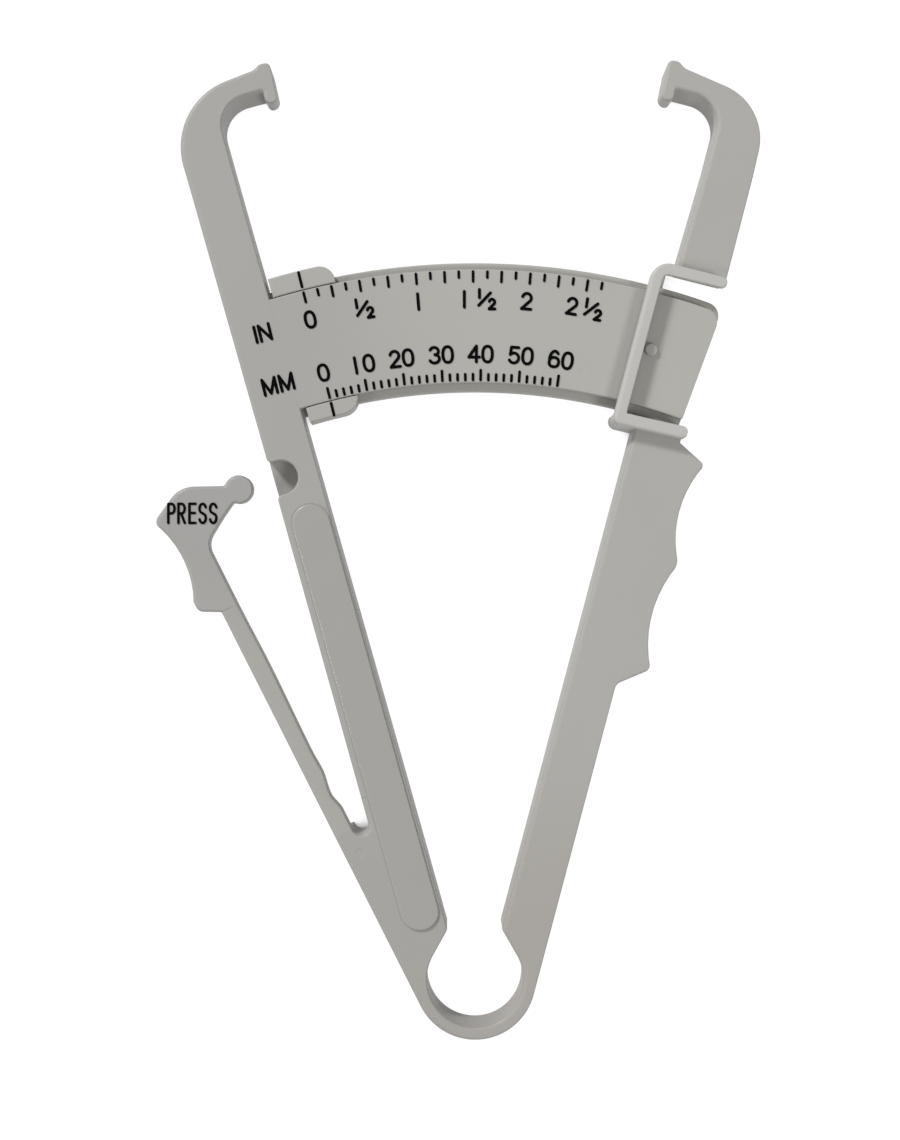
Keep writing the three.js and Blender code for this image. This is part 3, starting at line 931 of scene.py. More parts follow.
@dataclass
class Workshop:
    """Turns shells into named pieces: places them in the part's frame, dresses and hangs them on a body."""

    hinge: Array
    low: Array
    high: Array
    made: dict[str, bpy.types.Material] = field(default_factory=dict)

    @classmethod
    def from_frame(cls, frame: dict[str, Any]) -> "Workshop":
        """Reads the hinge's place and the model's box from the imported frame.


        Returns:
            The workshop.
        """
        hinge = next(joint for joint in frame["joints"] if joint["name"] == "arm_hinge")["pos_m"]
        low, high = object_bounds()
        return cls(np.array(hinge[:2]) * MILLIMETRES, np.array(low), np.array(high))

    def seat(self, points: Array) -> Array:
        """Millimetres about the hinge as metres in the part's frame, held inside the model's box.

        Args:
            points: points in millimetres.

        Returns:
            The points in metres.
        """
        moved = points.copy()
        moved[:, :2] += self.hinge
        return np.clip(moved / MILLIMETRES, self.low, self.high)

    def finish(self, finish: Finish) -> bpy.types.Material:
        """The finish's material, built once.

        Args:
            finish: the finish.

        Returns:
            Its material.
        """
        if finish.name not in self.made:
            self.made[finish.name] = finish.material()
        return self.made[finish.name]

    @staticmethod
    def smooth(mesh: bpy.types.Mesh) -> None:
        """Shades a mesh smoothly up to its sharp edges.

        Args:
            mesh: the mesh.
        """
        mesh.polygons.foreach_set("use_smooth", np.ones(len(mesh.polygons), dtype=bool))
        mesh.set_sharp_from_angle(angle=math.radians(SHARP_ANGLE))
        mesh.update()

    def mesh(self, name: str, shell: Shell) -> bpy.types.Object:
        """A mesh object of a shell, with smooth shading that stops at sharp edges.

        Args:
            name: the piece's name.
            shell: its surface.

        Returns:
            The object, at the origin.
        """
        mesh = bpy.data.meshes.new(name)
        mesh.from_pydata(self.seat(shell.points).tolist(), [], shell.faces)
        mesh.validate()
        self.smooth(mesh)
        return add_object(name, mesh)

    def dress(
        self,
        piece: bpy.types.Object,
        finish: Finish,
        body: Body | None,
        nodes: Sequence[str],
    ) -> None:
        """Gives a piece its finish, hides the CAD nodes that it stands for and hangs it on its body.

        Args:
            piece: the piece.
            finish: its finish.
            body: the body that it rides on, or None for a piece that rides on none.
            nodes: the CAD nodes that it stands for.
        """
        piece.data.materials.append(self.finish(finish))
        if finish.face_weight:
            normals = piece.modifiers.new("flat_faces", "WEIGHTED_NORMAL")
            normals.keep_sharp = True
            normals.weight = finish.face_weight
        if nodes:
            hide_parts(*nodes)
        if body is not None:
            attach(piece, body.value)
        log.info("%s: %d faces", piece.name, len(piece.data.polygons))

    def piece(
        self,
        name: str,
        shells: Sequence[Shell],
        finish: Finish,
        body: Body | None,
        nodes: Sequence[str] = (),
    ) -> bpy.types.Object:
        """Makes one named piece of the caliper.

        Args:
            name: the piece's name.
            shells: its closed surfaces.
            finish: its finish.
            body: the body that it rides on, or None for a piece that rides on none.
            nodes: the CAD nodes that it stands for.

        Returns:
            The object.
        """
        piece = self.mesh(name, Shell.joined(shells))
        self.dress(piece, finish, body, nodes)
        return piece

    def cut(self, piece: bpy.types.Object, cutter: bpy.types.Object) -> None:
        """Takes the cutter's space out of a piece and removes the cutter.

        Args:
            piece: the piece to cut.
            cutter: the shape to take out.
        """
        modifier = piece.modifiers.new("cut", "BOOLEAN")
        modifier.operation = "DIFFERENCE"
        modifier.solver = "EXACT"
        modifier.object = cutter
        shaped = bpy.data.meshes.new_from_object(piece.evaluated_get(bpy.context.evaluated_depsgraph_get()))
        piece.modifiers.remove(modifier)
        whole = piece.data
        name = whole.name
        piece.data = shaped
        bpy.data.meshes.remove(whole)
        bpy.data.objects.remove(cutter)
        shaped.name = name
        self.smooth(shaped)


# The caliper


@dataclass(frozen=True)
class Sizes:
    """The sizes that several sections share.

    Where a wall leans, draft_ease is how far up and down each of its two outlines holds. Print and other
    raised things start a sink below the face that they stand on.
    """

    depth: float = 8.0
    bore: float = 8.45
    wall: float = 2.25
    arm_width: float = 8.4
    root_reach: float = 36.0
    hook_start: float = 148.0
    neck_reach: float = 160.0
    edge: float = 0.55
    tooth_reach: float = 9.7
    tooth_round: float = 1.0
    plate_inner: float = 104.75
    plate_width: float = 19.9
    plate_rise: float = 1.6
    flange_lip: float = 1.4
    flange_thickness: float = 1.9
    rail_end: float = 20.3
    zero: float = -14.02
    reading_radius: float = 157.9
    lever_root: float = 33.4
    stub_width: float = 3.3
    lever_width: float = 3.15
    lever_depth: float = 3.0
    lever_hinge: float = 34.0
    lever_travel: float = 7.1
    ball_reach: float = 95.5
    ball_overhang: float = 12.4
    socket_shift: float = 0.35
    draft_ease: float = 0.8
    print_rise: float = 0.14
    sink: float = 0.05

    @property
    def outer(self) -> float:
        """The arms' outer faces and the spring's outer radius."""
        return self.bore + self.wall

    @property
    def inner(self) -> float:
        """How far out the arms' inner faces lie."""
        return self.outer - self.arm_width

    @property
    def plate_outer(self) -> float:
        """The plate's outer radius."""
        return self.plate_inner + self.plate_width

    @property
    def flange_inner(self) -> float:
        """The flange's inner radius."""
        return self.plate_inner - self.flange_lip

    @property
    def flange_outer(self) -> float:
        """The flange's outer radius."""
        return self.plate_outer + self.flange_lip

    @property
    def flange_top(self) -> float:
        """The height of the flange's front."""
        return self.depth - self.plate_rise

    @property
    def rail_bottom(self) -> float:
        """The height of the rail's underside."""
        return self.flange_top - self.flange_thickness

    @property
    def lever_bottom(self) -> float:
        """The height of the lever's underside."""
        return self.depth - self.lever_depth

    def reading_bearing(self, reading: float) -> float:
        """The bearing of a reading, which is the straight gap between the pads."""
        return self.zero + math.degrees(2 * math.asin(reading / (2 * self.reading_radius)))


SIZES = Sizes()
FIXED = Limb(-15.6, -1)
MOVING = Limb(14.85, 1)
LEVER = Limb(-26.8, -1)

# Painted light: the body, spring, fixed-arm and lever plastics are one moulding; their slightly different
# colours stand in for the uneven light on each part.
BODY_PLASTIC = MouldedPlastic(
    "warm_grey_plastic",
    Slot.BODY,
    (174, 172, 168),
    (168, 165, 161),
    ejector_marks=((0.04555, 0.06532, 0.00022),),
)
SPRING_PLASTIC = MouldedPlastic(
    "spring_plastic",
    Slot.BODY,
    (165, 163, 159),
    (168, 165, 161),
    axis="X",
    far_start=-0.008,
    far_end=0.006,
)
PANEL_PLASTIC = MouldedPlastic(
    "panel_plastic",
    Slot.BODY,
    (165, 163, 159),
    (164, 162, 158),
    gloss=0.4,
    gloss_roughness=0.14,
)
SCALE_PLASTIC = MouldedPlastic(
    "scale_plate_plastic",
    Slot.SCALE,
    (169, 167, 164),
    (177, 176, 171),
    axis="X",
    far_start=-0.032,
    far_end=0.004,
    ejector_marks=((0.02192, 0.03122, 0.00050), (-0.02370, 0.03448, 0.00018)),
)
FIXED_PLASTIC = MouldedPlastic(
    "fixed_arm_plastic",
    Slot.BODY,
    (169, 167, 164),
    (165, 163, 159),
    ejector_marks=((-0.01721, -0.05317, 0.00090), (-0.03721, -0.01352, 0.00030)),
)
LEVER_PLASTIC = MouldedPlastic(
    "lever_plastic",
    Slot.BODY,
    (164, 163, 161),
    (170, 168, 164),
    far_start=0.0,
    far_end=-0.02,
)
# Painted highlight: the window frame is the body's plastic, painted lighter for the extra light its raised
# bars catch.
FRAME_PAINTED_HIGHLIGHT_PLASTIC = MouldedPlastic("window_frame_plastic", Slot.BODY, (189, 188, 185), (187, 186, 183))
SLIDER_PLASTIC = MouldedPlastic(
    "slider_plastic",
    Slot.SLIDER,
    (174, 172, 167),
    (170, 166, 160),
    face_weight=50,
)
INK = PrintedInk()


def ball_place() -> Array:
    """The middle of the lever's ball at rest."""
    return LEVER.at(SIZES.ball_reach, SIZES.outer - SIZES.ball_overhang)


def socket_place() -> Array:
    """The middle of the click socket, a little ahead of where the pressed lever's ball comes to.

    The pressed ball is the ball turned about the lever's hinge by the lever's travel.

    Returns:
        The point.
    """
    hinge = LEVER.at(SIZES.lever_hinge, SIZES.outer - SIZES.lever_width / 2)
    turn = math.radians(SIZES.lever_travel)
    way = ball_place() - hinge
    pressed = hinge + np.array([
        way[0] * math.cos(turn) + way[1] * math.sin(turn),
        way[1] * math.cos(turn) - way[0] * math.sin(turn),
    ])
    return pressed + SIZES.socket_shift * FIXED.ahead


def root_bore(limb: Limb) -> list[Run]:
    """The bore's edge from the ring line to the tooth that ends the arm's inner face.

    The bore's circle runs to the point where a line from the tooth's tip touches it.

    Args:
        limb: the arm.

    Returns:
        The runs, from the ring line to the tooth.
    """
    tip = limb.at(SIZES.tooth_reach, SIZES.inner)
    bearing = math.degrees(math.atan2(tip[0], tip[1]))
    spread = math.degrees(math.acos(SIZES.bore / float(np.linalg.norm(tip))))
    touch = bearing + limb.side * spread
    return [
        Run(arc(SIZES.bore, limb.side * 90, touch, step=BORE_STEP)),
        corner(tip, SIZES.tooth_round),
    ]


@dataclass(frozen=True)
class Jaw:
    """A hook that turns from an arm's end to a neck, and the flat pad on the neck's end.

    The arm's end stands further out than its root: by inner_shift on its inner side and by outer_shift on
    its outer one. The neck's two sides meet the pad neck_height and neck_low above the pad's own reach.
    """

    limb: Limb
    hook_radius: float
    flare: float
    taper: float
    neck_height: float
    neck_low: float
    inner_shift: float
    outer_shift: float
    inner_radius: float = 5.2
    neck_ease: float = 0.9
    pad_angle: float = 2.95
    pad_height: float = 6.2
    pad_overhang: float = 1.1
    pad_lip: float = 1.0
    pad_lean: float = 0.35
    pad_thickness: float = 2.2
    pad_round: float = 1.05
    foot_round: float = 1.7
    pad_soft: float = 0.65
    upper_throat: float = 2.0
    lower_throat: float = 0.5

    def pad_limb(self) -> Limb:
        """The limb whose middle line the pad's face lies on."""
        return Limb(self.limb.bearing - self.limb.side * self.pad_angle, self.limb.side)

    def outline(self, overhang: float, tip_round: float) -> Outline:
        """The hook and its pad: a large outer corner, a smaller inner one, and a neck that flares.

        Args:
            overhang: how far the pad reaches below the neck.
            tip_round: the radius of the lower corner of the pad's face.

        Returns:
            The outline.
        """
        limb, pad = self.limb, self.pad_limb()
        reach, back = SIZES.neck_reach, self.pad_thickness
        low = reach - overhang
        high = reach - self.pad_overhang + self.pad_height
        top_bearing = limb.bearing + limb.side * self.taper
        neck_top = pad.at(reach + self.neck_height, back)
        top = Line(top_bearing, float(neck_top @ polar(1.0, top_bearing)))
        neck_bottom = pad.at(reach + self.neck_low, back)
        bottom = Line(limb.bearing, float(neck_bottom @ limb.ahead))
        inner = SIZES.inner + self.inner_shift
        return Outline([
            corner(limb.at(SIZES.hook_start, inner), seam=True),
            corner(limb.at(SIZES.hook_start, SIZES.outer + self.outer_shift)),
            corner(limb.face(SIZES.outer + self.flare).meet(top), self.hook_radius),
            corner(pad.face(back + self.neck_ease).meet(top), self.upper_throat),
            corner(pad.at(high, back - self.pad_lean), self.pad_round, soft=self.pad_soft),
            corner(pad.at(high, 0.0), self.pad_round, soft=self.pad_soft),
            corner(pad.at(low, 0.0), tip_round, soft=self.pad_soft),
            corner(pad.at(low, back), self.pad_round, soft=self.pad_soft),
            corner(neck_bottom, self.lower_throat),
            corner(limb.face(inner).meet(bottom), self.inner_radius),
        ])

    def moulding(self) -> Shell:
        """The hook and its pad in one; the pad's front face reaches lower than its foot."""
        foot = self.outline(self.pad_overhang, self.foot_round)
        return drafted(foot, self.outline(self.pad_overhang + self.pad_lip, self.pad_round))


FIXED_JAW = Jaw(
    FIXED,
    hook_radius=12.3,
    flare=0.42,
    taper=5.7,
    neck_height=4.45,
    neck_low=0.45,
    inner_shift=0.45,
    outer_shift=0.22,
)
MOVING_JAW = Jaw(
    MOVING,
    hook_radius=10.1,
    flare=0.0,
    taper=8.55,
    neck_height=4.35,
    neck_low=0.3,
    inner_shift=0.45,
    outer_shift=0.4,
)


@dataclass(frozen=True)
class FixedArm:
    """The left arm: its root with the fork, the arm with the click socket, the raised panel and the jaw."""

    fork_radius: float = 1.51
    socket_radius: float = 3.0
    socket_floor: float = 4.1
    socket_lip: float = 0.9
    socket_rim: float = 0.45
    panel_width: float = 6.75
    panel_out: float = 6.2
    panel_start: float = 10.8
    panel_gap: float = 2.8
    panel_rise: float = 0.45
    panel_round: float = 0.36
    panel_steps: int = 6
    letter_height: float = 2.75
    letter_width: float = 0.54
    letter_turn: float = -14.0
    inch_place: tuple[float, float] = (119.4, -18.25)
    inch_name: Glyphs = (("I", -1.15), ("N", 0.55))
    metric_place: tuple[float, float] = (110.0, -18.3)
    metric_name: Glyphs = (("M", -1.52), ("M", 1.52))

    def root(self) -> Shell:
        """The root: from the spring's end to the fork between the arm and the thumb lever.

        Returns:
            The closed shell.
        """
        stub = SIZES.outer - SIZES.stub_width
        bore = root_bore(FIXED)
        outline = Outline([
            corner(FIXED.at(SIZES.root_reach, SIZES.inner), seam=True),
            corner(FIXED.at(SIZES.root_reach, SIZES.outer)),
            corner(LEVER.face(stub).meet(FIXED.face(SIZES.outer)), self.fork_radius),
            corner(LEVER.at(SIZES.lever_root, stub), seam=True),
            corner(LEVER.at(SIZES.lever_root, SIZES.outer)),
            corner(LEVER.face(SIZES.outer).meet(RING_LINE), seam=True),
            *bore,
        ])
        return slab(outline, 0.0, SIZES.depth, SIZES.edge, SIZES.edge)

    def arm(self) -> Shell:
        """The arm with its click socket, a round notch that stops at a floor.

        Below the floor the notch's points lie spread along the arm's straight side, and the faces between
        them and the notch's own points are the floor.

        Returns:
            The closed shell.
        """
        socket = socket_place()
        reach, radius, lip, rim = FIXED.along(socket), self.socket_radius, self.socket_lip, self.socket_rim
        start, end = SIZES.root_reach, SIZES.hook_start
        notched = Outline([
            corner(FIXED.at(start, SIZES.inner)),
            corner(FIXED.at(end, SIZES.inner + FIXED_JAW.inner_shift), seam=True),
            corner(FIXED.at(end, SIZES.outer + FIXED_JAW.outer_shift)),
            corner(FIXED.at(reach + radius, SIZES.outer), lip, soft=rim),
            Run(arc(radius, FIXED.bearing, FIXED.bearing + 180, socket), soft=rim),
            corner(FIXED.at(reach - radius, SIZES.outer), lip, soft=rim),
            corner(FIXED.at(start, SIZES.outer), seam=True),
        ])
        away = np.abs(notched.points @ FIXED.ahead - reach)
        notch = away < radius + lip + SIZES.edge
        first, last = notched.points[notch][[0, -1]]
        share = np.linspace(0, 1, int(notch.sum()))[:, None]
        plain = notched.moved(notched.points.copy())
        plain.points[notch] = first + (last - first) * share
        low = edge_rows(0.0, self.socket_floor, SIZES.edge, 0.0)
        high = edge_rows(self.socket_floor, SIZES.depth, 0.0, SIZES.edge)
        return stacked([(plain, low), (notched, high)])

    def panel(self) -> Shell:
        """The raised panel: a long plate with round ends and a soft shoulder all round.

        Returns:
            The closed shell.
        """
        radius = self.panel_width / 2
        end = FIXED.along(socket_place()) - self.socket_radius - self.panel_gap
        low = FIXED.at(self.panel_start + radius, self.panel_out)
        high = FIXED.at(end - radius, self.panel_out)
        outline = Outline([
            Run(arc(radius, FIXED.bearing - 90, FIXED.bearing + 90, high)),
            Run(arc(radius, FIXED.bearing + 90, FIXED.bearing + 270, low)),
        ])
        bottom, top = SIZES.depth - SIZES.sink, SIZES.depth + self.panel_rise
        return slab(outline, bottom, top, 0.0, self.panel_round, self.panel_steps)

    def letters(self) -> list[Shell]:
        """The units' names beside the scale's two rows.

        Returns:
            The strokes.
        """
        pen = Pen(self.letter_height, self.letter_width)
        inch = pen.write(polar(*self.inch_place), self.letter_turn, self.inch_name)
        return inch + pen.write(polar(*self.metric_place), self.letter_turn, self.metric_name)

    def build(self, shop: Workshop) -> None:
        """Makes the arm's pieces.

        Args:
            shop: the workshop.
        """
        jaw_nodes = ["fixed_jaw", "fixed_pad"]
        shop.piece("fixed_root_moulding", [self.root()], FIXED_PLASTIC, Body.FIXED, ["fixed_root"])
        shop.piece("fixed_arm_moulding", [self.arm()], FIXED_PLASTIC, Body.FIXED, ["fixed_arm"])
        shop.piece("fixed_jaw_and_pad", [FIXED_JAW.moulding()], FIXED_PLASTIC, Body.FIXED, jaw_nodes)
        shop.piece("raised_panel", [self.panel()], PANEL_PLASTIC, Body.FIXED, ["label_panel"])
        shop.piece("unit_letters", self.letters(), INK, Body.FIXED)


@dataclass(frozen=True)
class Spring:
    """The C-shaped spring: half a ring below the hinge, drawn out to the tangents of lever and arm."""

    stations: int = 73
    least_lean: float = 0.2

    def shell(self) -> Shell:
        """Carries a rounded bar's section round the ring, from the ring line to the ring line.

        Each station lies on a ray from the hinge: the inner edge on the bore's circle, and the outer edge on
        the outer circle or, near the ends, on the tangent that it runs into.

        Returns:
            The closed shell.
        """
        left = LEVER.face(SIZES.outer).meet(RING_LINE)
        right = MOVING.face(SIZES.outer).meet(RING_LINE)
        bearing = np.linspace(-90.0, -270.0, self.stations)
        inner = polar(SIZES.bore, bearing)
        ray = polar(1.0, bearing)
        outer_radius = np.full(self.stations, SIZES.outer)
        for limb in (LEVER, MOVING):
            lean = ray @ limb.outward
            on_tangent = (lean > 0) & (ray @ limb.ahead > 0)
            tangent = SIZES.outer / np.maximum(lean, self.least_lean)
            outer_radius = np.where(on_tangent, tangent, outer_radius)
        outer = ray * outer_radius[:, None]
        outer[0] = left
        outer[-1] = right
        return band(inner, outer, 0.0, SIZES.depth, SIZES.edge)

    def build(self, shop: Workshop) -> None:
        """Makes the spring, which rides on no body.

        Args:
            shop: the workshop.
        """
        piece = shop.piece("bow_spring", [self.shell()], SPRING_PLASTIC, None, ["spring_bow"])
        middle = SIZES.depth / 2
        ends = shop.seat(np.array([[-SIZES.bore, 0.0, middle], [SIZES.bore, 0.0, middle]]))
        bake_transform(piece)


@dataclass(frozen=True)
class ScaleRail:
    """The curved rail: a flange that the slider hooks on, the plate with its scales, and the stop peg.

    corner_room says how many points of the outer and the inner arc make way for the corners between them.
    """

    corner_radius: float = 2.5
    inner_corner: float = 0.4
    corner_room: tuple[int, int] = (3, 2)
    arc_step: float = 0.8
    edge: float = 0.25
    plate_root: float = 1.0
    tick_width: float = 0.48
    long_tick: float = 2.2
    short_tick: float = 1.5
    tick_margin: float = 0.2
    inch: float = 25.4
    inch_parts: int = 8
    inch_ticks: int = 22
    inch_long: int = 2
    metric_step: float = 2.0
    metric_ticks: int = 31
    metric_long: int = 5
    figure_height: float = 2.75
    figure_width: float = 0.54
    figure_pitch: float = 1.17
    inch_row: float = 119.35
    inch_labels: tuple[Glyphs, ...] = (
        (("0", 0.0),),
        (("half", 0.0),),
        (("1", 0.0),),
        (("1", -1.54), ("half", 2.27)),
        (("2", -0.3),),
        (("2", -2.06), ("half", 1.6)),
    )
    metric_row: float = 109.75
    metric_tens: int = 6
    peg_radius: float = 1.1
    peg_height: float = 0.8
    peg_out: float = 1.5
    peg_edge: float = 0.3
    peg_step: float = 8.0

    def layer(self, inner: float, outer: float, bottom: float, top: float) -> Shell:
        """One layer of the rail, from just inside the arm's edge to the rail's end.

        Args:
            inner: the layer's inner radius.
            outer: its outer radius.
            bottom: its underside's height.
            top: its front's height.

        Returns:
            The closed shell.
        """
        root = SIZES.inner + SIZES.edge

        def start(radius: float) -> float:
            """The bearing where an arc of the rail meets the arm."""
            return FIXED.bearing - math.degrees(math.asin(root / radius))

        over = arc(outer, start(outer), SIZES.rail_end, step=self.arc_step)
        under = arc(inner, SIZES.rail_end, start(inner), step=self.arc_step)
        outer_room, inner_room = self.corner_room
        outline = Outline([
            Run(over[:-outer_room]),
            corner(over[-1], self.corner_radius),
            corner(under[0], self.inner_corner),
            Run(under[inner_room:], seam=True),
        ])
        return slab(outline, bottom, top, self.edge, self.edge)

    def ticks(self, readings: Array, edge: float, lengths: Array) -> list[Shell]:
        """Raised graduations: short strokes along the bearings of their readings.

        Args:
            readings: the readings in millimetres.
            edge: the radius that they start from.
            lengths: how far each goes out, or in if negative.

        Returns:
            The strokes.
        """
        shells = []
        bottom, top = SIZES.depth - SIZES.sink, SIZES.depth + SIZES.print_rise
        for reading, length in zip(readings, lengths):
            bearing = SIZES.reading_bearing(float(reading))
            way = math.copysign(self.tick_width / 2, length)
            line = polar(np.array([edge + way, edge + length - way]), bearing)
            shells.append(stroke(line, self.tick_width, bottom, top))
        return shells

    def inch_marks(self) -> list[Shell]:
        """The row of eighths of an inch, each second one longer.

        Returns:
            The strokes.
        """
        index = np.arange(self.inch_ticks)
        lengths = -np.where(index % self.inch_long == 0, self.long_tick, self.short_tick)
        return self.ticks(index * self.inch / self.inch_parts, SIZES.plate_outer - self.tick_margin, lengths)

    def metric_marks(self) -> list[Shell]:
        """The row of two-millimetre steps, each fifth one longer.

        Returns:
            The strokes.
        """
        index = np.arange(self.metric_ticks)
        lengths = np.where(index % self.metric_long == 0, self.long_tick, self.short_tick)
        return self.ticks(index * self.metric_step, SIZES.plate_inner + self.tick_margin, lengths)

    def inch_figures(self) -> list[Shell]:
        """The figures of the inch row, one each half inch.

        Returns:
            The strokes.
        """
        pen = Pen(self.figure_height, self.figure_width)
        shells: list[Shell] = []
        for index, glyphs in enumerate(self.inch_labels):
            bearing = SIZES.reading_bearing(index * self.inch / 2)
            shells += pen.write(polar(self.inch_row, bearing), bearing, glyphs)
        return shells

    def metric_figures(self) -> list[Shell]:
        """The figures of the millimetre row: 0 and the tens.

        Returns:
            The strokes.
        """
        pen = Pen(self.figure_height, self.figure_width)
        shells: list[Shell] = []
        for tens in range(self.metric_tens + 1):
            bearing = SIZES.reading_bearing(10.0 * tens)
            pair = ((str(tens), -self.figure_pitch), ("0", self.figure_pitch))
            shells += pen.write(polar(self.metric_row, bearing), bearing, pair if tens else (("0", 0.0),))
        return shells

    def peg(self) -> Shell:
        """The stop peg: a low round stud with a soft rim.

        Returns:
            The closed shell.
        """
        radius = (SIZES.plate_inner + SIZES.plate_outer) / 2
        centre = MOVING.at(math.sqrt(radius**2 - self.peg_out**2), self.peg_out)
        round_trip = arc(self.peg_radius, 0.0, 360.0 - self.peg_step, centre, self.peg_step)
        bottom, top = SIZES.depth - SIZES.sink, SIZES.depth + self.peg_height
        return slab(Outline([Run(round_trip)]), bottom, top, 0.0, self.peg_edge)

    def build(self, shop: Workshop) -> None:
        """Makes the rail's pieces.

        Args:
            shop: the workshop.
        """
        flange = self.layer(SIZES.flange_inner, SIZES.flange_outer, SIZES.rail_bottom, SIZES.flange_top)
        plate_bottom = SIZES.flange_top - self.plate_root
        plate = self.layer(SIZES.plate_inner, SIZES.plate_outer, plate_bottom, SIZES.depth)
        shop.piece("rail_and_scale_plate", [flange, plate], SCALE_PLASTIC, Body.FIXED, ["scale_rail"])
        shop.piece("stop_stud", [self.peg()], SCALE_PLASTIC, Body.FIXED, ["stop_peg"])
        shop.piece("inch_marks", self.inch_marks(), INK, Body.FIXED)
        shop.piece("metric_marks", self.metric_marks(), INK, Body.FIXED)
        shop.piece("inch_figures", self.inch_figures(), INK, Body.FIXED)
        shop.piece("metric_figures", self.metric_figures(), INK, Body.FIXED)


def turn_arc(
    x: float,
    y: float,
    wide: float,
    tall: float,
    start: float,
    end: float,
    count: int = 15,
) -> Array:
    """Points on an oval arc: x + wide cos a, y + tall sin a, with the angle a from start to end.

    Args:
        x: the middle's place across.
        y: the middle's height.
        wide: half the oval's width.
        tall: half its height.
        start: the first angle, anticlockwise from the right.
        end: the last angle.
        count: how many points.

    Returns:
        The points.
    """
    angle = np.radians(np.linspace(start, end, count))
    return np.stack([x + wide * np.cos(angle), y + tall * np.sin(angle)], axis=1)


def straight(*points: tuple[float, float]) -> Array:
    """The points of a straight stroke."""
    return np.array(points, float)


class Alphabet:
    """The strokes of each figure and letter, in a frame whose height is one, centred on the glyph."""

    OVAL_POINTS = 32
    OVAL_POWER = 0.86
    HALF_SCALE = 0.62
    HALF_PLACE = (0.375, -0.31)

    @classmethod
    def oval(cls, x: float, y: float, wide: float, tall: float) -> Array:
        """A closed oval, x + wide cos a, y + tall sin a, with the sine and cosine to a power just under 1.

        The power makes its sides a little straighter than an ellipse's.

        Args:
            x: the middle's place across.
            y: the middle's height.
            wide: half the width.
            tall: half the height.

        Returns:
            The points, which close on themselves.
        """
        angle = np.linspace(0, 2 * math.pi, cls.OVAL_POINTS + 1)[:-1]
        across = np.sign(np.cos(angle)) * np.abs(np.cos(angle)) ** cls.OVAL_POWER
        up = np.sign(np.sin(angle)) * np.abs(np.sin(angle)) ** cls.OVAL_POWER
        return np.stack([x + wide * across, y + tall * up], axis=1)

    @classmethod
    def strokes(cls, glyph: str) -> list[tuple[Array, bool]]:
        """The strokes of one glyph, and whether each closes on itself.

        Args:
            glyph: a figure, a letter, or half for the fraction.

        Returns:
            The strokes.
        """
        two = [
            np.concatenate([turn_arc(0.0, 0.2, 0.28, 0.3, 165, -28), straight((-0.29, -0.49))]),
            straight((-0.29, -0.5), (0.3, -0.5)),
        ]
        half_round = turn_arc(0.0, 0.25, 0.165, 0.25, 80, -80)
        bowl = np.concatenate([straight((-0.16, 0.5)), half_round, straight((-0.16, 0.0))])
        shapes: dict[str, list[Array]] = {
            "1": [straight((0.0, 0.5), (0.0, -0.5))],
            "2": two,
            "3": [turn_arc(0.0, 0.25, 0.27, 0.25, 158, -75), turn_arc(0.0, -0.23, 0.31, 0.27, 82, -158)],
            "4": [straight((0.13, 0.5), (-0.34, -0.2)), straight((-0.34, -0.2), (0.34, -0.2)),
                  straight((0.14, 0.5), (0.14, -0.5))],
            "5": [straight((0.25, 0.5), (-0.2, 0.5)), straight((-0.2, 0.5), (-0.25, 0.06)),
                  turn_arc(-0.01, -0.18, 0.31, 0.32, 140, -152)],
            "6": [turn_arc(0.0, -0.02, 0.3, 0.52, 48, 190)],
            "I": [straight((0.0, 0.5), (0.0, -0.5))],
            "N": [straight((-0.33, -0.5), (-0.33, 0.5)), straight((-0.33, 0.5), (0.33, -0.5)),
                  straight((0.33, -0.5), (0.33, 0.5))],
            "M": [straight((-0.4, -0.5), (-0.4, 0.5)), straight((-0.4, 0.5), (0.0, -0.45)),
                  straight((0.0, -0.45), (0.4, 0.5)), straight((0.4, 0.5), (0.4, -0.5))],
            "P": [straight((-0.16, -0.5), (-0.16, 0.5)), bowl],
            "R": [straight((-0.16, -0.5), (-0.16, 0.5)), bowl, straight((-0.02, 0.0), (0.17, -0.5))],
            "E": [straight((-0.16, -0.5), (-0.16, 0.5)), straight((-0.16, 0.5), (0.15, 0.5)),
                  straight((-0.16, 0.02), (0.12, 0.02)), straight((-0.16, -0.5), (0.15, -0.5))],
            "S": [np.concatenate([
                turn_arc(0.0, 0.25, 0.165, 0.25, 15, 225, 13),
                turn_arc(0.0, -0.25, 0.165, 0.25, 45, -165, 13),
            ])],
        }
        if glyph == "half":
            small = [points * cls.HALF_SCALE + np.array(cls.HALF_PLACE) for points in two]
            one = straight((-0.42, 0.62), (-0.42, 0.1))
            slash = straight((-0.47, -0.39), (0.28, 0.4))
            return [(one, False), (slash, False), *[(points, False) for points in small]]
        if glyph == "0":
            return [(cls.oval(0.0, 0.0, 0.305, 0.5), True)]
        strokes = [(points, False) for points in shapes[glyph]]
        if glyph == "6":
            strokes.append((cls.oval(0.0, -0.2, 0.3, 0.3), True))
        return strokes


@dataclass(frozen=True)
class Pen:
    """Writes glyphs as raised strokes on a flat face."""

    height: float
    width: float
    overlap: float = 0.004

    def write(self, place: Array, turn: float, glyphs: Glyphs) -> list[Shell]:
        """Writes glyphs in a row, each so far to the side of the row's middle.

        A point (u, v) of a glyph goes to place + u times the row's way + v times its upright.

        Args:
            place: the row's middle.
            turn: the bearing that the glyphs' tops point to.
            glyphs: each glyph and its place across.

        Returns:
            The strokes, each a hair lower than the one before, so that no two tops coincide.
        """
        upright = polar(1.0, turn)
        across = polar(1.0, turn + 90)
        shells: list[Shell] = []
        for glyph, offset in glyphs:
            for index, (points, closed) in enumerate(Alphabet.strokes(glyph)):
                scaled = points * self.height
                line = place + (scaled[:, :1] + offset) * across + scaled[:, 1:] * upright
                top = SIZES.depth + SIZES.print_rise - index * self.overlap
                bottom = SIZES.depth - SIZES.sink - index * self.overlap
                shells.append(stroke(line, self.width, bottom, top, closed))
        return shells


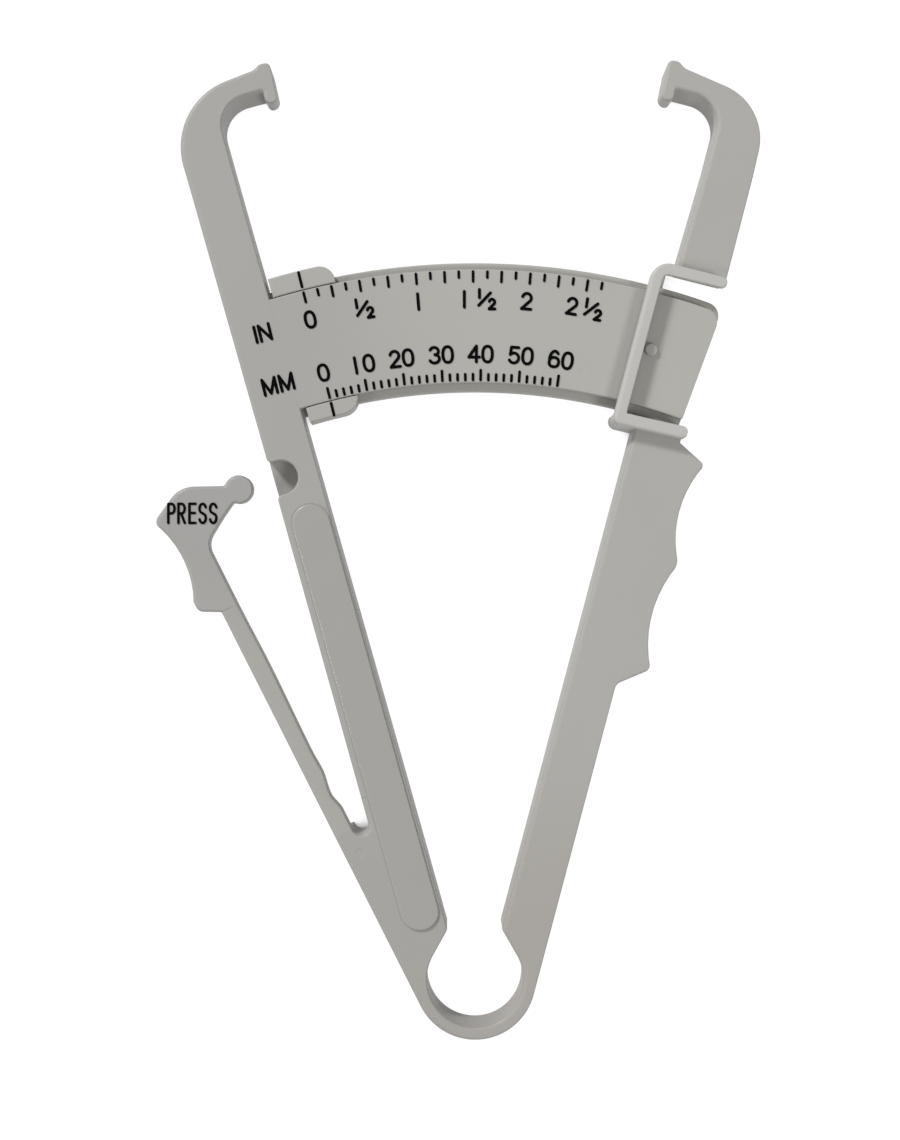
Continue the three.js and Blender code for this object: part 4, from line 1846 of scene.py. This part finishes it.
@dataclass(frozen=True)
class ThumbLever:
    """The thumb lever: a thin waist that bends, a beam, and a head with a dished thumb side and a ball.

    Each station gives the lever's width at a distance along it. The waist and the beam are worked out at
    waist_count and beam_count places.
    """

    stations: tuple[tuple[float, float], ...] = (
        (33.4, 3.3),
        (37.0, 3.3),
        (40.2, 2.65),
        (44.8, 3.2),
        (48.5, 3.05),
        (66.0, 3.3),
        (77.6, 3.15),
    )
    waist_count: int = 49
    beam_count: int = 41
    flexure_end: float = 45.4
    head_start: float = 77.6
    head_step: float = 3.6
    head_lip: float = 1.9
    head_lip_radius: float = 1.5
    thumb_length: float = 15.6
    thumb_depth: float = 1.8
    tip_radius: float = 1.4
    crown_reach: float = 100.64
    crown_out: float = 7.41
    crown_radius: float = 5.2
    neck_reach: float = 92.4
    neck_out: float = 2.9
    neck_radius: float = 6.0
    throat_reach: float = 89.5
    throat_radius: float = 3.3
    neck_waist: float = 3.3
    junction_radius: float = 0.8
    junction_turn: float = 14.0
    ball_radius: float = 2.5
    word_height: float = 3.36
    word_width: float = 0.46
    word_place: tuple[float, float] = (-49.62, 81.79)
    word_letters: Glyphs = (("P", -3.64), ("R", -1.87), ("E", 0.06), ("S", 1.84), ("S", 3.69))

    def width(self, reach: Array) -> Array:
        """The lever's width along it: a smooth step from each station's width to the next one's.

        Args:
            reach: distances along the lever.

        Returns:
            The widths.
        """
        place, width = np.array(self.stations).T
        index = np.clip(np.searchsorted(place, reach, side="right") - 1, 0, len(place) - 2)
        share = (reach - place[index]) / (place[index + 1] - place[index])
        return width[index] + (width[index + 1] - width[index]) * share * share * (3 - 2 * share)

    def strip(self, start: float, end: float, count: int) -> Shell:
        """A stretch of the lever, a rounded bar of changing width.

        Args:
            start: where it begins along the lever.
            end: where it ends.
            count: how many stations.

        Returns:
            The closed shell.
        """
        reach = np.linspace(start, end, count)
        inner = LEVER.at(reach, SIZES.outer - self.width(reach))
        outer = LEVER.at(reach, np.full(count, SIZES.outer))
        return band(inner, outer, SIZES.lever_bottom, SIZES.depth, SIZES.edge)

    def head(self) -> Shell:
        """The head: a hammer shape with a dished thumb side, and a ball on the neck towards the arm.

        Returns:
            The closed shell.
        """
        outer = SIZES.outer + self.head_step
        beam = SIZES.outer - SIZES.lever_width
        opening = math.degrees(math.asin(self.neck_waist / 2 / self.ball_radius))
        thumb_start = self.head_start + 2 * self.head_lip
        thumb_end = thumb_start + self.thumb_length
        ball = ball_place()
        first = LEVER.bearing - 90 + opening
        last = first + 360 - 2 * opening
        turn = self.junction_turn
        dish = bow(LEVER.at(thumb_start, outer), LEVER.at(thumb_end, outer), -self.thumb_depth)
        outline = Outline([
            corner(LEVER.at(self.head_start, beam), seam=True),
            corner(LEVER.at(self.head_start, SIZES.outer)),
            corner(LEVER.at(self.head_start + self.head_lip, outer), self.head_lip_radius),
            Run(dish[:-1]),
            corner(LEVER.at(thumb_end, outer), self.tip_radius),
            corner(LEVER.at(self.crown_reach, self.crown_out), self.crown_radius),
            corner(ball + polar(self.ball_radius, first), self.junction_radius),
            Run(arc(self.ball_radius, first + turn, last - turn, ball)),
            corner(ball + polar(self.ball_radius, last), self.junction_radius),
            corner(LEVER.at(self.neck_reach, self.neck_out), self.neck_radius),
            corner(LEVER.at(self.throat_reach, beam), self.throat_radius),
        ])
        return slab(outline, SIZES.lever_bottom, SIZES.depth, SIZES.edge, SIZES.edge)

    def word(self) -> list[Shell]:
        """The word that tells the user to press here, written level across the head.

        Returns:
            The strokes.
        """
        pen = Pen(self.word_height, self.word_width)
        return pen.write(np.array(self.word_place), 0.0, self.word_letters)

    def build(self, shop: Workshop) -> None:
        """Makes the lever's pieces; its waist rides on no body.

        Args:
            shop: the workshop.
        """
        bend = self.strip(SIZES.lever_root, self.flexure_end, self.waist_count)
        waist = shop.piece("lever_waist", [bend], LEVER_PLASTIC, None, ["lever_flexure"])
        reach = np.array([SIZES.lever_root, self.flexure_end])
        plan = LEVER.at(reach, SIZES.outer - SIZES.lever_width / 2)
        ends = shop.seat(np.column_stack([plan, np.full(2, SIZES.depth / 2)]))
        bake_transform(waist)
        beam = self.strip(self.flexure_end, self.head_start, self.beam_count)
        shop.piece("lever_bar", [beam], LEVER_PLASTIC, Body.LEVER, ["lever_beam"])
        shop.piece("thumb_head", [self.head()], LEVER_PLASTIC, Body.LEVER, ["thumb_pad", "click_ball"])
        shop.piece("press_letters", self.word(), INK, Body.LEVER)


@dataclass(frozen=True)
class MovingArm:
    """The right arm: root, finger grip, the window frame that rides over the rail, upper arm and jaw.

    The frame's bar and the post under its upper arm each have two outlines, one near the foot and one near
    the front. lean_height, rim_height and post_ease say how far up and down each of those outlines holds.
    """

    grip_shoulder: float = 2.7
    grip_scallops: tuple[float, ...] = (18.05, 19.1)
    grip_height: float = 5.2
    grip_depth: float = 2.25
    grip_lip: float = 4.0
    grip_rounds: tuple[float, ...] = (1.0, 3.0, 1.3)
    grip_foot_radius: float = 1.6
    frame_rise: float = 2.5
    bridge_width: float = 2.1
    upper_width: float = 2.1
    lower_width: float = 2.25
    upper_lean: float = 0.45
    bridge_outer: float = 0.1
    rear_sides: tuple[float, float] = (-0.7, 1.05)
    frame_overhang: float = 0.5
    lower_tilt: float = 2.0
    upper_tilt: float = 0.65
    upper_gap: float = 1.6
    arm_setback: float = 1.6
    end_draft: float = 0.45
    end_shift: float = 0.5
    lower_gap: float = 0.25
    lower_lift: float = 0.5
    face_gap: float = 0.4
    end_radius: float = 0.98
    upper_corner: float = 3.2
    lower_corner: float = 1.4
    upper_throat: float = 0.9
    lower_throat: float = 0.25
    throat_soft: float = 0.35
    foot_inset: float = 0.04
    foot_overlap: float = 0.2
    post_overlap: float = 0.15
    post_edge: float = 0.2
    post_room: tuple[float, float] = (0.9, 0.9)
    post_ease: float = 1.0
    lean_height: float = 0.3
    rim_height: float = 0.6
    under_edge: float = 0.1
    edge: float = 0.5

    @property
    def bridge_inner(self) -> float:
        """How far out the bridges' left sides lie."""
        return self.bridge_outer - self.bridge_width

    @property
    def frame_end(self) -> float:
        """How far out the bars end."""
        return SIZES.outer + self.frame_overhang

    def lower_edge(self) -> Line:
        """The window's lower edge, which clears the flange where the bar's far end comes nearest.

        Returns:
            The line.
        """
        bearing = MOVING.bearing - self.lower_tilt
        end = MOVING.bearing + math.degrees(math.atan2(self.frame_end, SIZES.flange_inner))
        reach = SIZES.flange_inner - self.lower_gap
        return Line(bearing, reach * math.cos(math.radians(end - bearing)))

    def upper_edge(self) -> Line:
        """The window's upper edge."""
        return Line(MOVING.bearing - self.upper_tilt, SIZES.flange_outer + self.upper_gap)

    def arm_end(self) -> Line:
        """Where the upper arm ends, back under the window's upper bar."""
        return self.upper_edge().shifted(self.arm_setback)

    def root(self) -> Shell:
        """The arm's root, from the ring line up.

        Returns:
            The closed shell.
        """
        outline = Outline([
            corner(MOVING.at(SIZES.root_reach, SIZES.inner), seam=True),
            corner(MOVING.at(SIZES.root_reach, SIZES.outer)),
            corner(MOVING.face(SIZES.outer).meet(RING_LINE), seam=True),
            *root_bore(MOVING),
        ])
        return slab(outline, 0.0, SIZES.depth, SIZES.edge, SIZES.edge)

    def grip(self) -> Shell:
        """The lower half of the arm, with two finger scallops between three crests.

        Returns:
            The closed shell.
        """
        lower = self.lower_edge()
        shoulder = lower.distance + self.lower_lift - self.lower_width
        reach = shoulder - self.grip_shoulder - np.cumsum([0.0, *self.grip_scallops])
        crests = MOVING.at(reach, SIZES.outer + self.grip_height)
        runs = [corner(crests[0], self.grip_rounds[0])]
        for start, end, radius in zip(crests[:-1], crests[1:], self.grip_rounds[1:]):
            runs += [Run(bow(start, end, -self.grip_depth)[1:-1]), corner(end, radius)]
        outline = Outline([
            corner(MOVING.face(SIZES.inner).meet(lower), seam=True),
            corner(MOVING.face(SIZES.outer).meet(lower)),
            corner(MOVING.at(shoulder, SIZES.outer)),
            *runs,
            corner(MOVING.at(reach[-1] - self.grip_lip, SIZES.outer), self.grip_foot_radius),
            corner(MOVING.at(SIZES.root_reach, SIZES.outer), seam=True),
            corner(MOVING.at(SIZES.root_reach, SIZES.inner)),
        ])
        return slab(outline, 0.0, SIZES.depth, SIZES.edge, SIZES.edge)

    def bars(self, lean: float) -> tuple[tuple[Line, Line], tuple[Line, Line]]:
        """The upper and the lower bar of the window frame, each as its side by the window and its far side.

        Args:
            lean: how far the upper bar's side stands back from the window.

        Returns:
            The two pairs of lines.
        """
        upper = self.upper_edge()
        lower = self.lower_edge().shifted(self.lower_lift)
        return (
            (upper.shifted(lean), upper.shifted(self.upper_width)),
            (lower, lower.shifted(-self.lower_width)),
        )

    def bar_outline(self, lean: float) -> Outline:
        """The bent bar seen from above: two arms and the bridge between them.

        Args:
            lean: how far the upper arm's side stands back from the window.

        Returns:
            The outline.
        """
        (upper, upper_far), (lower, lower_far) = self.bars(lean)
        left, right = MOVING.face(self.bridge_inner), MOVING.face(self.bridge_outer)
        end = MOVING.face(self.frame_end)
        return Outline([
            corner(end.meet(upper), self.end_radius),
            corner(end.meet(upper_far), self.end_radius),
            corner(left.meet(upper_far), self.upper_corner),
            corner(left.meet(lower_far), self.lower_corner),
            corner(end.meet(lower_far), self.end_radius),
            corner(end.meet(lower), self.end_radius),
            corner(right.meet(lower), self.lower_throat),
            corner(right.meet(upper), self.upper_throat, soft=self.throat_soft),
        ])

    def foot(self, edge: Line, back: Line, top: float) -> Shell:
        """The foot that one arm of the bar stands on, a hair narrower than the arm.

        Args:
            edge: the arm's side by the window.
            back: its far side.
            top: the height that the foot reaches.

        Returns:
            The closed shell.
        """
        inset = math.copysign(self.foot_inset, back.distance - edge.distance)
        near, far = edge.shifted(inset), back.shifted(-inset)
        right, end = MOVING.face(self.bridge_outer), MOVING.face(self.frame_end - self.foot_inset)
        outline = Outline([
            corner(right.meet(near)),
            corner(end.meet(near), self.end_radius),
            corner(end.meet(far), self.end_radius),
            corner(right.meet(far)),
        ])
        return slab(outline, SIZES.depth, top)

    def frame(self) -> list[Shell]:
        """The window frame: one bent bar of two arms and the bridge between them, two feet and two posts.

        Returns:
            The closed shells, each of which runs a little into the next.
        """
        low, top = SIZES.depth + self.face_gap, SIZES.depth + self.frame_rise
        leaning = edge_rows(low, low + self.lean_height, self.under_edge, 0.0)
        upright = edge_rows(top - self.rim_height, top, 0.0, self.edge)
        bent = stacked([(self.bar_outline(self.upper_lean), leaning), (self.bar_outline(0.0), upright)])
        feet = [self.foot(edge, back, low + self.foot_overlap) for edge, back in self.bars(self.upper_lean)]
        post_top = low + self.post_overlap
        return [bent, *feet, self.upper_post(post_top), self.lower_post(post_top)]

    def upper_post(self, top: float) -> Shell:
        """The post under the upper bar, which keeps within the bar's rounded corner.

        Its foot leans away from the window as the upper arm's end does.

        Args:
            top: the height that it reaches.

        Returns:
            The closed shell.
        """
        left = MOVING.face(self.bridge_inner + self.foot_inset)
        side = MOVING.face(SIZES.inner)
        radius = self.upper_corner - self.foot_inset
        outlines = []
        for draft in (self.end_draft, 0.0):
            end = self.arm_end().shifted(draft)
            back = self.upper_edge().shifted(self.upper_width - self.foot_inset + draft)
            turn = fillet(side.meet(back), left.meet(back), left.meet(RING_LINE), radius, self.post_room)
            above = turn @ polar(1.0, end.bearing) - end.distance
            last = int(np.sum(above > 0)) - 1
            share = above[last] / (above[last] - above[last + 1])
            crossing = turn[last] + share * (turn[last + 1] - turn[last])
            outlines.append(Outline([
                corner(side.meet(end), seam=True),
                corner(side.meet(back)),
                Run(turn[:last + 1]),
                corner(crossing),
            ]))
        low = edge_rows(0.0, self.post_ease, self.post_edge, 0.0)
        high = edge_rows(SIZES.depth - self.post_ease, top, 0.0, 0.0)
        return stacked([(outlines[0], low), (outlines[1], high)])

    def lower_post(self, top: float) -> Shell:
        """The post under the lower bar, beside the grip.

        Args:
            top: the height that it reaches.

        Returns:
            The closed shell.
        """
        edge = self.lower_edge()
        back = edge.shifted(self.lower_lift - self.lower_width)
        left, side = MOVING.face(self.bridge_inner), MOVING.face(SIZES.inner)
        outline = Outline([
            corner(left.meet(edge)),
            corner(side.meet(edge), seam=True),
            corner(side.meet(back)),
            corner(left.meet(back), self.lower_corner),
        ])
        return slab(outline, 0.0, top, self.edge, 0.0)

    def rear_bridge(self) -> Shell:
        """The bridge behind the rail, from the lower half of the arm to the end of the upper half.

        Returns:
            The closed shell.
        """
        left, right = (MOVING.face(out) for out in self.rear_sides)
        lines = (self.lower_edge().shifted(-self.edge), self.arm_end().shifted(self.edge))
        inner = np.stack([left.meet(edge) for edge in lines])
        outer = np.stack([right.meet(edge) for edge in lines])
        return band(inner, outer, 0.0, SIZES.rail_bottom - self.face_gap, self.edge)

    def upper_arm(self) -> Shell:
        """The upper half of the arm, from under the window's upper bar to the jaw.

        Its end leans away from the window towards its foot.

        Returns:
            The closed shell.
        """
        jaw = MOVING_JAW
        outlines = []
        for draft in (self.end_draft, 0.0):
            end = self.arm_end().shifted(draft)
            outlines.append(Outline([
                corner(MOVING.face(SIZES.inner).meet(end)),
                corner(MOVING.at(SIZES.hook_start, SIZES.inner + jaw.inner_shift), seam=True),
                corner(MOVING.at(SIZES.hook_start, SIZES.outer + jaw.outer_shift)),
                corner(MOVING.face(SIZES.outer + self.end_shift).meet(end), seam=True),
            ]))
        return drafted(outlines[0], outlines[1])

    def build(self, shop: Workshop) -> None:
        """Makes the arm's pieces.

        Args:
            shop: the workshop.
        """
        jaw_nodes = ["moving_jaw", "moving_pad"]
        bars = ["upper_bar", "lower_bar", "front_bridge"]
        shop.piece("moving_root_moulding", [self.root()], BODY_PLASTIC, Body.MOVING, ["moving_root"])
        shop.piece("finger_grip", [self.grip()], BODY_PLASTIC, Body.MOVING, ["grip_arm"])
        shop.piece("window_frame", self.frame(), FRAME_PAINTED_HIGHLIGHT_PLASTIC, Body.MOVING, bars)
        shop.piece("window_rear_bridge", [self.rear_bridge()], BODY_PLASTIC, Body.MOVING, ["rear_bridge"])
        shop.piece("upper_arm_moulding", [self.upper_arm()], BODY_PLASTIC, Body.MOVING, ["upper_arm"])
        shop.piece("moving_jaw_and_pad", [MOVING_JAW.moulding()], BODY_PLASTIC, Body.MOVING, jaw_nodes)


@dataclass(frozen=True)
class Marker:
    """The slider that keeps the reading: a back behind the rail, two walls and two lips over the flange.

    The rail's channel is cut out of it past both ends and above the lips. An index mark is given by the
    radii that it runs between.
    """

    outer_wall: float = 1.85
    inner_wall: float = 1.15
    back: float = 1.5
    width: float = 11.6
    outer_corner: float = 2.8
    inner_corner: float = 3.2
    arc_step: float = 0.25
    side_gap: float = 0.3
    face_gap: float = 0.15
    rest_gap: float = 0.3
    edge: float = 0.3
    lip_ease: float = 0.22
    channel_start: float = -22.0
    channel_end: float = -6.0
    channel_count: int = 49
    channel_over: float = 1.0
    index_marks: tuple[tuple[float, float], ...] = ((125.25, 127.85), (102.05, 104.25))
    mark_width: float = 0.5
    mark_rise: float = 0.12

    def body(self) -> Shell:
        """The slider's outside: a stretch of ring with round corners at its far end.

        Returns:
            The closed shell.
        """
        outer = SIZES.flange_outer + self.side_gap + self.outer_wall
        inner = SIZES.flange_inner - self.side_gap - self.inner_wall
        start = FIXED.bearing - math.degrees(math.asin((SIZES.inner - self.rest_gap) / outer))
        end = start + math.degrees(self.width / outer)
        over = arc(outer, start, end, step=self.arc_step)
        under = arc(inner, end, start, step=self.arc_step)
        over_room = math.ceil(self.outer_corner / float(np.linalg.norm(over[1] - over[0]))) + 1
        under_room = math.ceil(self.inner_corner / float(np.linalg.norm(under[1] - under[0]))) + 1
        outline = Outline([
            Run(over[:-over_room]),
            corner(over[-1], self.outer_corner),
            corner(under[0], self.inner_corner),
            Run(under[under_room:]),
        ])
        bottom = SIZES.rail_bottom - self.face_gap - self.back
        return slab(outline, bottom, SIZES.depth, self.edge, self.edge)

    def channel(self) -> Shell:
        """The space for the rail: a section of channel and mouth, carried along the arc past both ends.

        Each section is a list of radius and height, turned to the bearing of its station. The mouth widens
        by a small quarter round at the front face, which softens the lips' edges.

        Returns:
            The closed shell.
        """
        back, lip, top = SIZES.rail_bottom - self.face_gap, SIZES.flange_top + self.face_gap, SIZES.depth
        near, far = SIZES.flange_inner - self.side_gap, SIZES.flange_outer + self.side_gap
        mouth_near, mouth_far = SIZES.plate_inner - self.face_gap, SIZES.plate_outer + self.face_gap
        ease, over = self.lip_ease, top + self.channel_over
        turn = np.linspace(0, math.pi / 2, EDGE_STEPS + 1)
        widen, rise = ease * (1 - np.cos(turn)), top - ease + ease * np.sin(turn)
        section = np.concatenate([
            [[near, back], [far, back], [far, lip], [mouth_far, lip]],
            np.stack([mouth_far + widen, rise], axis=1),
            [[mouth_far + ease, over], [mouth_near - ease, over]],
            np.stack([mouth_near - widen[::-1], rise[::-1]], axis=1),
            [[mouth_near, lip], [near, lip]],
        ])
        bearing = np.linspace(self.channel_start, self.channel_end, self.channel_count)
        plan = polar(1.0, bearing)[:, None, :] * section[None, :, 0, None]
        return swept(at_heights(plan, section[:, 1]))

    def marks(self) -> list[Shell]:
        """The two index marks, one on each lip, on the bearing of the reading.

        Returns:
            The strokes.
        """
        bottom, top = SIZES.depth - SIZES.sink, SIZES.depth + self.mark_rise
        lines = [polar(np.array(ends), SIZES.zero) for ends in self.index_marks]
        return [stroke(line, self.mark_width, bottom, top) for line in lines]

    def build(self, shop: Workshop) -> None:
        """Makes the slider and its index marks.

        Args:
            shop: the workshop.
        """
        slider = shop.mesh("slider_clip", self.body())
        shop.cut(slider, shop.mesh("channel_cutter", self.channel()))
        shop.dress(slider, SLIDER_PLASTIC, Body.MARKER, ["slider"])
        shop.piece("index_marks", self.marks(), INK, Body.MARKER)


# The studio


@dataclass(frozen=True)
class Lamp:
    """A soft square lamp that looks at the middle of the caliper, in metres and watts."""

    name: str
    place: tuple[float, float, float]
    size: float
    power: float

    def hang(self) -> None:
        """Adds the lamp to the scene."""
        data = bpy.data.lights.new(self.name, "AREA")
        data.shape = "SQUARE"
        data.size = self.size
        data.energy = self.power
        lamp = add_object(self.name, data)
        lamp.location = self.place
        lamp.rotation_euler = (-Vector(self.place)).to_track_quat("-Z", "Y").to_euler()


@dataclass(frozen=True)
class Studio:
    """A white table, three lamps, of which the strongest is at the upper left, a pale sky and the camera."""

    camera_place: tuple[float, float, float] = (-0.001416, -0.003521, 0.278)
    camera_near: float = 0.01
    film_height: float = 24.0
    view_height: float = 0.2
    view_distance: float = 0.27
    lamps: tuple[Lamp, ...] = (
        Lamp("key_lamp", (-2.1, 2.6, 2.1), 0.6, 102.0),
        Lamp("fill_lamp", (1.7, -1.4, 2.1), 0.8, 30.0),
        Lamp("side_lamp", (-2.3, -0.65, 1.3), 0.5, 11.0),
    )
    sky_colour: tuple[float, float, float, float] = (1.0, 0.995, 0.985, 1.0)
    sky_strength: float = 0.37
    table_drop: float = 0.0002
    table_reach: float = 1.2
    table_colour: tuple[float, float, float, float] = (0.5, 0.5, 0.5, 1.0)
    glow_colour: tuple[float, float, float, float] = (1.0, 1.0, 1.0, 1.0)
    glow: float = 1.12
    glow_share: float = 0.88
    gap_reach: float = 0.006
    gap_dark: float = 0.12
    gap_light: float = 0.34

    def camera(self) -> None:
        """Puts the camera over the caliper.

        The lens is half the film's height over the tangent of half the view, which is half the view's
        height over its distance.
        """
        data = bpy.data.cameras.new("overhead_camera")
        data.sensor_fit = "VERTICAL"
        data.sensor_height = self.film_height
        data.lens = self.film_height / 2 / (self.view_height / 2 / self.view_distance)
        data.clip_start = self.camera_near
        camera = add_object("overhead_camera", data)
        camera.location = self.camera_place
        bpy.context.scene.camera = camera

    def sky(self) -> None:
        """Lights the object from all round with a plain pale sky."""
        world = bpy.data.worlds.new("pale_sky")
        world.use_nodes = True
        background = world.node_tree.nodes["Background"]
        background.inputs["Color"].default_value = self.sky_colour
        background.inputs["Strength"].default_value = self.sky_strength
        bpy.context.scene.world = world

    def table(self) -> None:
        """Lays the white table, which glows white to the camera and still takes some of the shadow.

        In gaps so deep and narrow that hardly any light gets in, an occlusion test dims the glow: painted
        shade.
        """
        reach, low = self.table_reach, -self.table_drop
        mesh = bpy.data.meshes.new("table_top")
        corners = [(-reach, -reach, low), (reach, -reach, low), (reach, reach, low), (-reach, reach, low)]
        mesh.from_pydata(corners, [], [(0, 1, 2, 3)])
        table = add_object("table_top", mesh)
        bench = Bench("white_table")
        direct = bench.node("ShaderNodeLightPath", out="Is Camera Ray")
        glossy = bench.node("ShaderNodeLightPath", out="Is Glossy Ray")
        seen = bench.node("ShaderNodeMath", {"operation": "MAXIMUM"}, {0: direct, 1: glossy})
        # Painted shade: the occlusion test dims the table's glow in deep, narrow gaps.
        open_sky = bench.node("ShaderNodeAmbientOcclusion", None, {"Distance": self.gap_reach}, out="AO")
        share = seen * self.glow_share * open_sky.ramp(self.gap_dark, self.gap_light)
        diffuse = bench.node("ShaderNodeBsdfDiffuse", None, {"Color": self.table_colour})
        light = {"Color": self.glow_colour, "Strength": self.glow}
        glow = bench.node("ShaderNodeEmission", None, light)
        mesh.materials.append(bench.surfaced("ShaderNodeMixShader", {0: share, 1: diffuse, 2: glow}))
        table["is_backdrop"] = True

    def build(self) -> None:
        """Sets up the camera, the light and the table."""
        self.camera()
        self.sky()
        for lamp in self.lamps:
            lamp.hang()
        self.table()
        bpy.context.scene.view_settings.view_transform = "Standard"


def main() -> None:
    """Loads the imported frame, builds each sub-assembly in order and sets the studio."""
    logging.basicConfig(level=logging.INFO, format="%(name)s: %(message)s")
    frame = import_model()
    Studio().build()
    shop = Workshop.from_frame(frame)
    for part in (FixedArm(), Spring(), ScaleRail(), ThumbLever(), MovingArm(), Marker()):
        log.info("building %s", type(part).__name__)
        part.build(shop)


if __name__ == "__main__":
    main()
